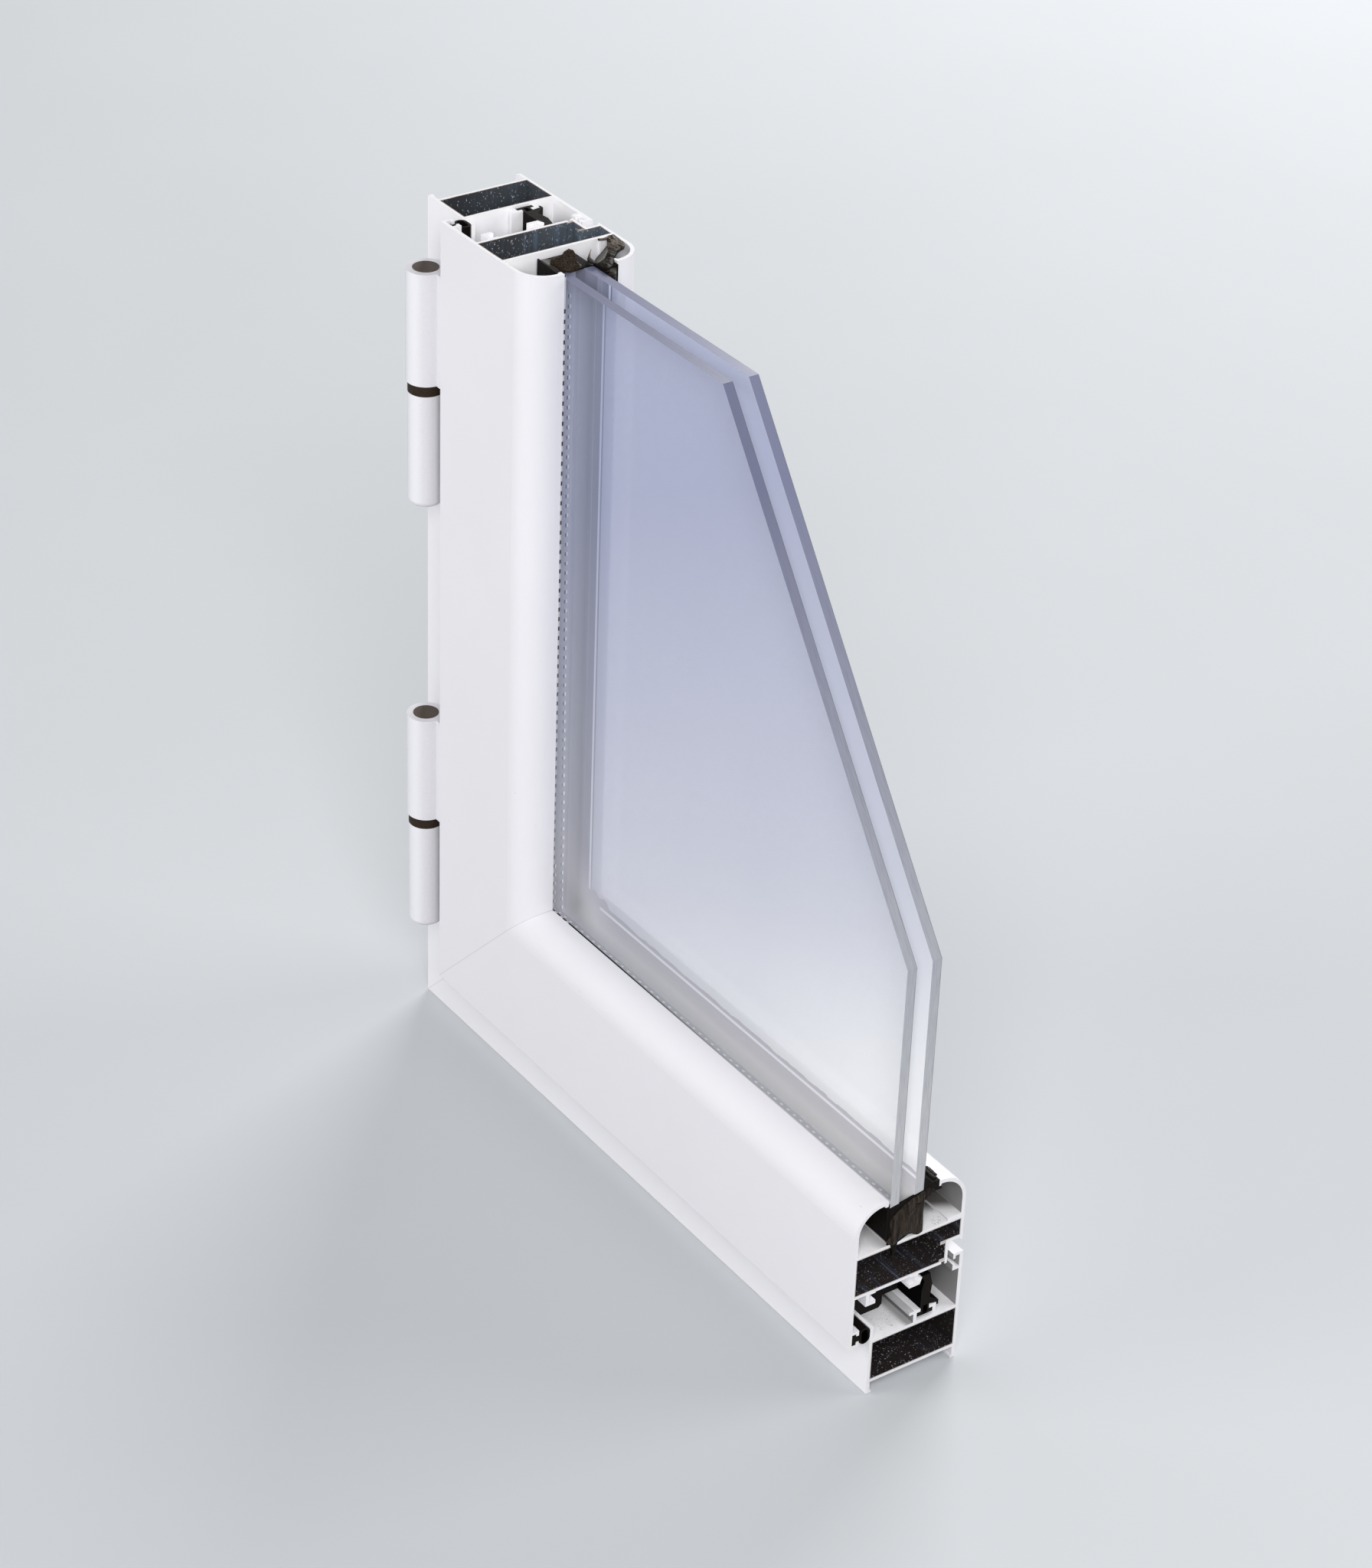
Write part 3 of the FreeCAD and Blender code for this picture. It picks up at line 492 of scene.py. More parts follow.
def seal_band(sheet, place, inset, z, rise, face, look):
    """The rubber seen through the far pane, laid over the tint of its face."""
    frayed = sheet.noise(place, 0.16, 3.0, 0.7)
    above = sheet.ease(z, OVER_NEAR_PANE - 0.2, OVER_NEAR_PANE + 0.2)
    across = inset - above * OVER_SHIFT
    band = (across < BAND_UPRIGHT) | (z + sheet.ease(frayed, 0.35, 0.7, -0.3, 0.5) < BAND_LYING)
    for middle, height, radius in BLOBS:
        aside, over = inset - middle, z - height
        band = band | (aside * aside + over * over < radius * radius)
    line = (within(across, *LINE_UPRIGHT) & (z > LINE_CORNER[1])) | (
        within(z, *LINE_LYING) & (inset > LINE_CORNER[0]))
    faint = within(across, *FAINT_UPRIGHT) * (z > FAINT_LYING[1])
    faint = faint | within(z, *FAINT_LYING) * (inset > FAINT_UPRIGHT[1])

    # painted light: it is lit through the near pane alone, so it is painted paler where it is
    # deepest and in the corner
    deep = sheet.ease(across & z, 74.0, 94.0, 1.0, 0.0)
    tint = sheet.mix(rise, look.band_lower, look.band_upper)
    tint = sheet.mix(deep, tint, sheet.mix(rise, (1.0, 1.0, 1.0), (0.66, 0.69, 0.86)))
    corner = sheet.ease(across + z, 160.0, 205.0, 0.9, 0.0)
    tint = sheet.mix(corner, tint, (0.95, 0.94, 1.0))
    root = (across < BAND_ROOT) * (z > BAND_ROOT)
    tint = sheet.mix(root * 0.12, tint, (0.10, 0.11, 0.20))
    tint = sheet.mix(faint * 0.12, tint, (0.85, 0.86, 0.90))
    # painted shade above the near pane's top edge, darker in one patch
    shade = above * (0.36 + (across < DARK_PATCH[0] - OVER_SHIFT) * (z > DARK_PATCH[1]) * 0.22)
    tint = sheet.mix(shade, tint, (0.05, 0.05, 0.10))
    face = sheet.mix(band, face, tint)
    return sheet.mix(line, face, sheet.mix(rise, (0.97, 0.97, 1.0), (0.50, 0.54, 0.72)))


def glass_finish(name, panes, see_through, look):
    """Pane: tinted faces and blue-grey cut edges. The near one is clear, and the far one
    carries the tint."""
    sheet = Sheet(name)
    place, x, y, z = sheet.place()
    _, facing, _ = sheet.facing()
    inset = x - OUTER_EDGE / MM
    u = y - ROOM_FACE / MM
    height = z - 0.514 * inset
    rise = sheet.node("ShaderNodeMapRange", None, {
        "Value": height, "From Min": look.lower_height / MM,
        "From Max": look.upper_height / MM})
    haze = sheet.noise(place, 0.012, 1.0)
    face = sheet.mix(rise, look.lower, look.upper)
    # painted light: paler towards the bottom, to offset the shade that falls there
    face = sheet.mix(sheet.ease(height, -50.0, 55.0, 0.75, 0.0), face, (0.97, 0.975, 0.99))
    face = sheet.mix(sheet.ease(haze, 0.3, 0.8, 0.0, 0.12), face, look.upper)

    # cut edges, darker along their outer arris
    grain = sheet.noise(sheet.stretch(place, (0.12, 3.0, 0.12)), 1.0, 2.0)
    edge = sheet.mix(rise, look.edge_lower, look.edge_upper)
    edge = sheet.mix(sheet.ease(grain, 0.4, 0.7, 0.0, 0.25), edge,
                     tuple(0.8 * part for part in look.edge_upper))
    if not see_through:
        edge = sheet.mix(sheet.ease(z, 240.0, 330.0, 0.0, 0.12), edge, (0.40, 0.42, 0.60))
    rim = sheet.ease(y, panes[1] / MM - 0.35, panes[1] / MM - 0.1, 0.0, 0.55)
    edge = sheet.mix(rim, edge, (0.10, 0.10, 0.11))

    # sealant wiped over the sawn edges beside the jamb and above the sill
    wiped = (inset < SMEAR_TOP) * (z > SMEAR_END)
    wiped = wiped | (z < 80.8 + u * 0.15)
    packed = within(u, *PACKED_EDGES[0]) | within(u, *PACKED_EDGES[1])
    patch = sheet.mix(packed, (0.010, 0.008, 0.007), (0.075, 0.066, 0.060))
    if see_through:
        edge = sheet.mix(sheet.ease(inset, 92.0, 106.0, 0.45, 0.0) * (z > SMEAR_END), edge,
                         (0.12, 0.13, 0.22))
    edge = sheet.mix(wiped, edge, patch)

    side = abs(facing) < 0.5
    alpha = 1.0
    if see_through:
        alpha = side * (1.0 - look.veil) + look.veil
    else:
        # painted shade on the far pane near its top, above the near pane's top edge
        above = (z > OVER_NEAR_PANE) * (inset < SOFT_EDGE)
        face = sheet.mix(above * 0.25, face, (0.20, 0.235, 0.30))
        face = seal_band(sheet, place, inset, z, rise, face, look)
    tint = sheet.mix(side, face, edge)
    return sheet.surface(
        Base_Color=tint, Alpha=alpha, Roughness=side * 0.22 + 0.06, Coat_Weight=0.3)


RUBBER_GLOSS = 0.05
GROOVE = (19.0, 31.0, 22.5, 45.0)
FOOT_HOLE = (23.4, 25.5, 26.4, 28.7)
TUBE = (-2.2, 27.0, 1.5, 2.9)


def rubber_tint(sheet, place, upright, look):
    """Tint, roughness and relief of extruded rubber: lines along the member and scuffs."""
    run = (1.4, 1.4, 0.04) if upright else (0.04, 1.4, 1.4)
    lines = sheet.noise(sheet.stretch(place, run), 1.0, 3.0, 0.6)
    scuff = sheet.noise(place, 0.5, 3.0, 0.65)
    tint = sheet.mix(sheet.ease(lines, 0.4, 0.75, 0.0, 0.7), look.rubber,
                     tuple(1.9 * part for part in look.rubber))
    tint = sheet.mix(sheet.ease(scuff, 0.64, 0.76, 0.0, 0.3), tint, (0.09, 0.075, 0.065))
    return tint, sheet.ease(scuff, 0.3, 0.8, 0.45, 0.65), sheet.bump(lines + scuff, 0.0002, 0.4)


def rubber_finish(name, upright, end, look):
    """Extruded rubber, dull and a little dusty, browner where it is sawn."""
    sheet = Sheet(name)
    place, x, y, z = sheet.place()
    tint, rough, relief = rubber_tint(sheet, place, upright, look)
    sawn = (z if upright else x) > end / MM - 0.05
    tint = sheet.mix(sawn, tint, tuple(1.6 * part for part in look.rubber))
    if not upright:
        u = y - ROOM_FACE / MM
        # painted shade: the groove, the foot's hole and the tube's hollow are painted near black
        groove = within(u, *GROOVE[:2]) * within(z, *GROOVE[2:]) * (1.0 - sawn)
        foot = within(u, *FOOT_HOLE[:2]) * within(z, *FOOT_HOLE[2:])
        aside, over = (u - TUBE[0]) / TUBE[2], (z - TUBE[1]) / TUBE[3]
        tube = aside * aside + over * over < 1.0
        hollow_shade = groove | foot | tube
        tint = sheet.mix(hollow_shade, tint, (0.0006, 0.0004, 0.0004))
        rough = hollow_shade * (0.95 - rough) + rough
    return sheet.surface(Base_Color=tint, Roughness=rough, Normal=relief,
                         Specular_IOR_Level=RUBBER_GLOSS)


SLOT_PITCH = 4.0
SLOT_LENGTH = 1.5
SLOT_WIDTH = 0.7
UPRIGHT_ROW = (14.9, 0.0075)
LYING_ROW = 13.7
EDGE_ROW = 11.8
EDGE_ROW_TOP = 100.0

LIP = 83.4
LIP_FADE = (118.0, 235.0)
TICK_LENGTH = 1.7
TICK_TOP = 338.0
TICK_END = 97.0


def lip_finish(name, upright, look):
    """Gasket at the near pane. Its lip is painted pale as a painted reflection of the bead, with
    painted shadows of the spacer's slots on the jamb, and pale painted glints at them on the
    sill."""
    sheet = Sheet(name)
    place, x, y, z = sheet.place()
    _, _, up = sheet.facing()
    tint, rough, relief = rubber_tint(sheet, place, upright, look)
    inset = x - OUTER_EDGE / MM
    if upright:
        seen = (inset > LIP) * (up < 0.5)
        tick = (z % SLOT_PITCH < TICK_LENGTH) * (z < TICK_TOP)
        pale = sheet.mix(sheet.ease(z, 90.0, 200.0), (0.42, 0.41, 0.44), (0.52, 0.52, 0.55))
        lip = sheet.mix(tick, pale, sheet.mix(sheet.ease(z, 120.0, 230.0),
                                              (0.22, 0.21, 0.23), (0.055, 0.05, 0.055)))
    else:
        seen = z > LIP
        tick = (x % SLOT_PITCH < TICK_LENGTH) * (inset < TICK_END)
        lip = sheet.mix(sheet.ease(inset, *LIP_FADE), (0.012, 0.0125, 0.0125), (0.42, 0.42, 0.44))
        lip = sheet.mix(tick, lip, (0.50, 0.50, 0.50))
    return sheet.surface(
        Base_Color=sheet.mix(seen, tint, lip), Roughness=rough, Normal=relief,
        Specular_IOR_Level=RUBBER_GLOSS)


def sealant_finish(name, look):
    """Sealant smeared by hand and cut through: glossy folds and dull skin. Its ridges are
    painted lighter, a painted sheen, and its hollows darker, painted shade.
    """
    sheet = Sheet(name)
    place, x, y, z = sheet.place()
    fold = sheet.noise(sheet.stretch(place, (0.3, 1.5, 0.2)), 0.6, 4.0, 0.6)
    fine = sheet.noise(place, 2.2, 3.0, 0.7)
    tint = sheet.mix(sheet.ease(fold, 0.38, 0.66), tuple(0.5 * part for part in look.sealant),
                     tuple(2.8 * part for part in look.sealant))
    tint = sheet.mix(sheet.ease(fine, 0.6, 0.8, 0.0, 0.25), tint, (0.10, 0.078, 0.062))
    return sheet.surface(
        Base_Color=tint, Roughness=sheet.ease(fine, 0.3, 0.7, 0.34, 0.55),
        Normal=sheet.bump(fold * 0.7 + fine * 0.3, 0.0006, 0.6), Specular_IOR_Level=0.14)


def torn_finish(name, look):
    """Rubber stretched thin by the saw. Its folds carry a painted sheen: pale over the bead,
    which is near the outer edge, and dark beside the glass."""
    sheet = Sheet(name)
    place, x, y, z = sheet.place()
    fold = sheet.noise(sheet.stretch(place, (0.35, 0.8, 0.35)), 1.0, 3.0, 0.55)
    fine = sheet.noise(place, 1.8, 3.0, 0.6)
    painted_sheen = sheet.ease(x - OUTER_EDGE / MM, 72.0, 79.0, 1.0, 0.08)
    tint = sheet.mix(sheet.ease(fold, 0.34, 0.60) * painted_sheen,
                     tuple(1.2 * part for part in look.rubber), (0.135, 0.108, 0.088))
    tint = sheet.mix(sheet.ease(fine, 0.55, 0.75, 0.0, 0.4), tint, tuple(look.rubber))
    return sheet.surface(
        Base_Color=tint, Roughness=sheet.ease(fine, 0.3, 0.7, 0.4, 0.6),
        Normal=sheet.bump(fold * 0.7 + fine * 0.3, 0.0003, 0.4), Specular_IOR_Level=0.07)


def spacer_finish(name, upright, look):
    """Spacer bar with its row of small breathing slots, painted dark on one side as painted shade
    and pale on the other as painted light, where light falls in."""
    sheet = Sheet(name)
    place, x, y, z = sheet.place()
    u = y - ROOM_FACE / MM
    along = z if upright else x
    slot = (along % SLOT_PITCH < SLOT_LENGTH) * (z < TICK_TOP)
    grain = sheet.noise(place, 0.8, 2.0)
    rise = sheet.ease(z, 80.0, 260.0)
    metal = sheet.mix(rise, (0.60, 0.61, 0.66), (0.46, 0.48, 0.60))
    metal = sheet.mix(sheet.ease(grain, 0.3, 0.7, 0.0, 0.2), metal, (0.42, 0.43, 0.52))
    if upright:
        from_row = u - UPRIGHT_ROW[0] + (z - 90.0) * UPRIGHT_ROW[1]
        near_glass = within(u, EDGE_ROW - 0.3, EDGE_ROW + 0.3) * (z < EDGE_ROW_TOP)
        dark = sheet.ease(z, 90.0, 230.0, 0.25, 0.8)
    else:
        from_row = u - LYING_ROW
        near_glass = 0.0
        dark = 0.0
    metal = sheet.mix(slot * within(from_row, -SLOT_WIDTH, 0.0) * dark, metal,
                      (0.13, 0.14, 0.20))
    glint = sheet.ease(z, 90.0, 230.0, 1.0, 0.5) if upright else 1.0
    pale = slot * (within(from_row, 0.0, SLOT_WIDTH) | near_glass) * glint
    tint = sheet.mix(pale, metal, (0.97, 0.975, 1.0))
    return sheet.surface(Base_Color=tint, Roughness=0.5)


def plain_finish(name, tint, second, grain_scale, roughness, metallic=0.0, gloss=0.5):
    """Fine-grained finish of two close tints."""
    sheet = Sheet(name)
    place, x, y, z = sheet.place()
    grain = sheet.noise(place, grain_scale, 3.0, 0.6)
    mixed = sheet.mix(sheet.ease(grain, 0.35, 0.7), tint, second)
    return sheet.surface(
        Base_Color=mixed, Metallic=metallic, Roughness=roughness, Specular_IOR_Level=gloss,
        Normal=sheet.bump(grain, 0.0001, 0.25))


def knuckle_finish(name, look):
    """Powder coat of the hinges, painted paler on the side that faces the room: painted light."""
    sheet = Sheet(name)
    place, x, y, z = sheet.place()
    _, toward_back, _ = sheet.facing()
    grain = sheet.noise(place, 0.9, 3.0, 0.6)
    tint = sheet.mix(sheet.ease(grain, 0.35, 0.7), look.coat,
                     tuple(0.97 * part for part in look.coat))
    tint = sheet.mix(sheet.ease(toward_back, -0.6, -1.0, 0.0, 0.6), tint, (0.88, 0.88, 0.91))
    return sheet.surface(
        Base_Color=tint, Roughness=0.46, Specular_IOR_Level=0.35,
        Normal=sheet.bump(grain, 0.0001, 0.25))


def foam_finish(name):
    """Dark block in the cavity, browner where the light reaches it."""
    return plain_finish(name, (0.006, 0.0048, 0.0045), (0.011, 0.0085, 0.0075), 0.7, 0.7,
                        gloss=0.15)


def coat_node(name, material):
    """Gives a CAD node its finish."""
    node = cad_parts[name]
    if not node.material_slots:
        node.data.materials.append(material)
    for slot in node.material_slots:
        slot.material = material


# Rubber and sealant torn and cut at the two sawn ends. Their outlines are places in the
# members' section: depth behind the frame's face, then distance in from its outer edge.

GRAIN = 0.42 * MM
BACK_STEP = 1.4 * MM


def at_section(upright, u, v, along):
    """Point of a member's section, in millimetres, at a place along the member."""
    if upright:
        return Vector((inward(v), depth(u), along))
    return Vector((along, depth(u), v * MM))


def spline(before, start, stop, after, part):
    """Point between two of four that follow one another on a smooth curve."""
    return 0.5 * (2.0 * start + (stop - before) * part
                  + (2.0 * before - 5.0 * start + 4.0 * stop - after) * part ** 2
                  + (3.0 * start - before - 3.0 * stop + after) * part ** 3)


def rounded(outline, steps=4):
    """Closed smooth curve through a few points."""
    spots = [Vector(spot) for spot in outline]
    count = len(spots)
    curve = []
    for index in range(count):
        around = [spots[(index + step) % count] for step in (-1, 0, 1, 2)]
        curve += [spline(*around, step / steps) for step in range(steps)]
    return curve


def side_distance(spot, start, stop):
    """Distance from a point to a straight side."""
    side = stop - start
    reached = (spot - start).dot(side) / max(side.length_squared, 1e-12)
    return (spot - start - side * min(1.0, max(0.0, reached))).length


def rim_distance(spot, curve):
    """Distance from a point to the nearest side of a closed curve."""
    return min(side_distance(spot, start, stop)
               for start, stop in zip(curve, curve[1:] + curve[:1]))


def lump(name, outline, upright, ends, reach, relief, material, steps=4):
    """Mass with a smooth outline. Its face lies at a place along the member that runs from
    the first to the second of ends with the depth, and relief raises it."""
    curve = rounded(outline, steps)
    near = min(spot.x for spot in curve)
    far = max(spot.x for spot in curve)
    along = Vector((0.0, 0.0, 1.0)) if upright else Vector((1.0, 0.0, 0.0))

    def front(u):
        return ends[0] + (ends[1] - ends[0]) * (u - near) / (far - near)

    shell = bmesh.new()
    ring = [shell.verts.new(at_section(upright, spot.x, spot.y, front(spot.x)))
            for spot in curve]
    face = shell.faces.new(ring)
    grown = bmesh.ops.extrude_face_region(shell, geom=[face])
    back = [item for item in grown["geom"] if isinstance(item, bmesh.types.BMVert)]
    bmesh.ops.translate(shell, verts=back, vec=along * -reach)
    bmesh.ops.triangulate(shell, faces=shell.faces[:])
    for _ in range(7):
        fronts = [edge for edge in shell.edges
                  if edge.calc_length() > (GRAIN if abs(
                      edge.verts[0].co.dot(along) - front_of(edge, front)) < 0.3 * reach
                      else BACK_STEP)]
        if not fronts:
            break
        bmesh.ops.subdivide_edges(shell, edges=fronts, cuts=1)
        bmesh.ops.triangulate(shell, faces=shell.faces[:])
    for vertex in shell.verts:
        u = (vertex.co.y - ROOM_FACE) / MM
        v = (vertex.co.x - OUTER_EDGE) / MM if upright else vertex.co.z / MM
        if vertex.co.dot(along) > front(u) - 0.01 * MM:
            vertex.co += along * relief(u, v, rim_distance(Vector((u, v)), curve)) * MM
        else:
            push = noise.noise_vector(vertex.co / (1.5 * MM)) * 0.12 * MM
            vertex.co += push - along * push.dot(along)
    bmesh.ops.recalc_face_normals(shell, faces=shell.faces[:])
    mesh = bpy.data.meshes.new(name)
    shell.to_mesh(mesh)
    shell.free()
    mesh.shade_smooth()
    mesh.materials.append(material)
    piece = bpy.data.objects.new(name, mesh)
    bpy.context.scene.collection.objects.link(piece)
    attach(piece, "root")
    return piece


def front_of(edge, front):
    """Place of the face at an edge's depth."""
    return front((edge.verts[0].co.y - ROOM_FACE) / MM)


def pillow(rim, height, width):
    """Height of a swollen face, from its rim inwards."""
    return height * (1.0 - math.exp(-rim / width))


def grit(u, v, size, height):
    """Uneven surface, in millimetres."""
    return height * noise.fractal(Vector((u / size, v / size, 0.37)), 0.8, 2.0, 4)


def cut_folds(u, v, rim):
    """Folds of the sealant cut with the rail: ridges, and grooves where height is below 0."""
    height = pillow(rim, 0.5, 0.6) + grit(u, v * 0.25, 1.2, 0.14)
    spot = Vector((u, v))
    for path, rise, width in FOLDS:
        nearest = min(side_distance(spot, Vector(start), Vector(stop))
                      for start, stop in zip(path, path[1:]))
        height += rise * math.exp(-(nearest / width) ** 2)
    return height


def torn_crumbs(u, v, rim):
    """Rough broken foam between the panes."""
    return pillow(rim, 0.35, 0.5) + grit(u, v, 0.6, 0.6)


def stretched(u, v, rim):
    """Rubber stretched out over the saw cut."""
    return pillow(rim, 0.45, 0.9) + grit(u, v, 2.2, 0.3)


def thin(u, v, rim):
    return pillow(rim, 0.15, 0.4)


# Operators


class WINDOW_OT_profiles(bpy.types.Operator):
    """Coats the frame, the sash and the glazing bead"""

    bl_idname = "window_corner.profiles"
    bl_label = "Profiles"

    def execute(self, context):
        look = context.scene.window_coat
        for piece, chambers, streaks_and_light in (("frame", FRAME_CHAMBERS, 0.25),
                                         ("sash", SASH_CHAMBERS, 1.0)):
            lying = "frame_sill" if piece == "frame" else "sash_rail"
            upright = "frame_jamb" if piece == "frame" else "sash_stile"
            top = FRAME_TOP if piece == "frame" else SASH_TOP
            coat_node(lying, profile_finish(
                lying + "_coat", False, chambers, CUT_SIDE, look, streaks_and_light))
            coat_node(upright, profile_finish(
                upright + "_coat", True, chambers, top, look, streaks_and_light))
        coat_node("bead_rail", profile_finish("bead_rail_coat", False, [], CUT_SIDE, look))
        coat_node("bead_stile", profile_finish("bead_stile_coat", True, [], SASH_TOP, look))
        return {"FINISHED"}


class WINDOW_OT_glass_unit(bpy.types.Operator):
    """Finishes the panes, the spacer bars and the packers of the sealed unit"""

    bl_idname = "window_corner.glass_unit"
    bl_label = "Glass unit"

    def execute(self, context):
        look = context.scene.window_glass
        coat_node("glass_pane_near", glass_finish("near_pane_glass", NEAR_PANE, True, look))
        coat_node("glass_pane_far", glass_finish("far_pane_glass", FAR_PANE, False, look))
        coat_node("spacer_rail", spacer_finish("spacer_rail_metal", False, look))
        coat_node("spacer_stile", spacer_finish("spacer_stile_metal", True, look))
        packer = plain_finish("packer_plastic", (0.05, 0.05, 0.052), (0.07, 0.07, 0.072),
                              0.8, 0.5)
        coat_node("setting_block_rail", packer)
        coat_node("setting_block_stile", packer)
        coat_node("cavity_packer_rail", foam_finish("packer_foam"))
        return {"FINISHED"}


class WINDOW_OT_gaskets(bpy.types.Operator):
    """Finishes the rubber gaskets and the edge sealant"""

    bl_idname = "window_corner.gaskets"
    bl_label = "Gaskets and sealant"

    def execute(self, context):
        look = context.scene.window_rubber
        lying = rubber_finish("rubber_lying", False, CUT_SIDE, look)
        upright = rubber_finish("rubber_upright", True, FRAME_TOP, look)
        for node in ("central_seal_sill", "overlap_seal_rail", "far_glazing_seal_rail"):
            coat_node(node, lying)
        for node in ("central_seal_jamb", "overlap_seal_stile", "far_glazing_seal_stile"):
            coat_node(node, upright)
        coat_node("near_glazing_seal_rail", lip_finish("lip_lying", False, look))
        coat_node("near_glazing_seal_stile", lip_finish("lip_upright", True, look))
        sealant = sealant_finish("edge_sealant", look)
        coat_node("edge_seal_rail", sealant)
        coat_node("edge_seal_stile", sealant)
        return {"FINISHED"}


class WINDOW_OT_hinges(bpy.types.Operator):
    """Finishes both hinges and the corner cleats"""

    bl_idname = "window_corner.hinges"
    bl_label = "Hinges and cleats"

    def execute(self, context):
        look = context.scene.window_hinge
        coat = knuckle_finish("hinge_coat", look)
        plastic = plain_finish("hinge_plastic", tuple(look.plastic),
                               tuple(1.4 * part for part in look.plastic), 1.5, 0.5, gloss=0.3)
        ring = plain_finish("hinge_ring", tuple(look.ring),
                            tuple(1.4 * part for part in look.ring), 1.5, 0.6, gloss=0.2)
        steel = plain_finish("pin_steel", (0.45, 0.45, 0.47), (0.52, 0.52, 0.54), 1.0, 0.3, 1.0)
        cleat = plain_finish("cleat_metal", (0.5, 0.5, 0.52), (0.6, 0.6, 0.62), 0.8, 0.4, 1.0)
        for prefix in ("hinge_upper_", "hinge_lower_"):
            coat_node(prefix + "sash_leaf", coat)
            coat_node(prefix + "frame_leaf", coat)
            coat_node(prefix + "ring", ring)
            coat_node(prefix + "cap", plastic)
            coat_node(prefix + "pin", steel)
        coat_node("frame_corner_cleat", cleat)
        coat_node("sash_corner_cleat", cleat)
        return {"FINISHED"}


class WINDOW_OT_end_pieces(bpy.types.Operator):
    """Models the sealant and the torn rubber that show at the two sawn ends"""

    bl_idname = "window_corner.end_pieces"
    bl_label = "Sealant and torn rubber"

    def execute(self, context):
        look = context.scene.window_rubber
        sealant = sealant_finish("sealant_cut", look)
        skin = torn_finish("rubber_torn", look)
        # painted shade: a darker copy of the sealant, for the beds and the rail's tail
        dark = plain_finish("sealant_shade", tuple(0.2 * part for part in look.sealant),
                            tuple(0.4 * part for part in look.sealant), 1.2, 0.7, gloss=0.1)
        film = plain_finish("sealant_film", (0.018, 0.015, 0.012), (0.055, 0.049, 0.042),
                            0.9, 0.5, gloss=0.2)
        crumbs = plain_finish("sealant_crumbs", tuple(0.7 * part for part in look.sealant),
                              tuple(3.6 * part for part in look.sealant), 1.6, 0.8, gloss=0.1)
        side = CUT_SIDE
        top = SASH_TOP

        # between and below the panes at the rail's end
        lump("sealant_rail_bed", RAIL_BED, False, (side + 0.1 * MM,) * 2, 0.5 * MM,
             thin, dark, steps=1)
        lump("sealant_rail_face", RAIL_SEALANT, False, (side + 0.35 * MM, side + 0.45 * MM),
             1.5 * MM, cut_folds, sealant)
        lump("sealant_rail_tail", RAIL_TAIL, False, (side + 0.35 * MM,) * 2, 0.8 * MM,
             thin, dark)
        lump("gasket_rail_torn", RAIL_GASKET, False, (side + 0.1 * MM,) * 2, 2.5 * MM,
             stretched, skin)

        for place, (outline, start, length) in enumerate(RAIL_SHREDS, 1):
            lump(f"gasket_rail_shred_{place}", outline, False, (side - start * MM,) * 2,
                 length * MM, thin, skin)

        # between the panes and across the bead at the stile's end
        lump("sealant_stile_face", STILE_SEALANT, True, (top - 0.6 * MM,) * 2,
             1.8 * MM, torn_crumbs, crumbs)
        lump("sealant_stile_bed", STILE_BED, True, (top - 1.9 * MM,) * 2,
             0.5 * MM, thin, dark, steps=1)
        lump("sealant_stile_wedge", STILE_WEDGE, True, (top - 1.1 * MM,) * 2,
             1.2 * MM, thin, film, steps=1)
        # painted sheen: a paler film laid over the rubber for its sheen
        lump("gasket_stile_sheen", STILE_SHEEN, True, (top - 0.8 * MM,) * 2,
             0.8 * MM, thin, film)
        lump("gasket_stile_strap", STILE_STRAP, True, (top - 0.6 * MM, top + 0.2 * MM),
             1.2 * MM, stretched, skin)
        lump("gasket_stile_tendril", STILE_TENDRIL, True, (top + 0.1 * MM,) * 2, 0.5 * MM,
             thin, skin)
        lump("gasket_stile_root", STILE_ROOT, True, (top - 1.8 * MM,) * 2,
             2.5 * MM, stretched, skin)
        lump("gasket_stile_thorn", STILE_THORN, True, (top - 0.3 * MM,) * 2, 0.5 * MM,
             thin, skin)
        return {"FINISHED"}


RAIL_BED = [(4.7, 65.3), (9.5, 64.9), (14.0, 66.6), (19.4, 65.4), (20.2, 83.8), (12.4, 82.7),
            (4.7, 81.5)]
RAIL_SEALANT = [(19.7, 83.3), (16.9, 82.6), (13.8, 81.9), (11.8, 81.0), (10.2, 80.0),
                (8.6, 79.1), (7.0, 78.0), (5.8, 77.0), (5.2, 74.9), (5.6, 71.6), (5.9, 69.4),
                (5.0, 68.1), (4.3, 67.0), (5.6, 65.3), (7.2, 64.6), (8.2, 64.9), (9.2, 66.0),
                (10.8, 66.8), (12.4, 67.3), (14.1, 67.5), (15.0, 66.9), (16.1, 65.9),
                (17.7, 65.0), (19.3, 65.3), (19.9, 66.5), (19.8, 74.3), (19.9, 79.5)]
FOLDS = [([(10.0, 80.0), (9.0, 77.8), (9.0, 73.6), (8.9, 69.4), (8.5, 66.8)], 0.38, 0.5),
         ([(14.6, 77.3), (12.8, 76.4), (11.7, 75.0), (11.2, 72.6), (11.4, 69.4),
           (12.7, 67.4)], 0.35, 0.45),
         ([(7.1, 77.9), (6.4, 75.7), (6.7, 71.3), (7.2, 68.0), (6.5, 66.1)], 0.3, 0.5),
         ([(19.1, 82.7), (18.9, 76.8), (18.3, 65.7)], 0.2, 0.5),
         ([(13.6, 82.0), (10.7, 79.4), (10.1, 76.3), (10.2, 72.0), (10.5, 68.5)], -0.4, 0.45),
         ([(16.0, 78.9), (16.8, 78.7), (18.1, 78.6)], -0.8, 0.5)]
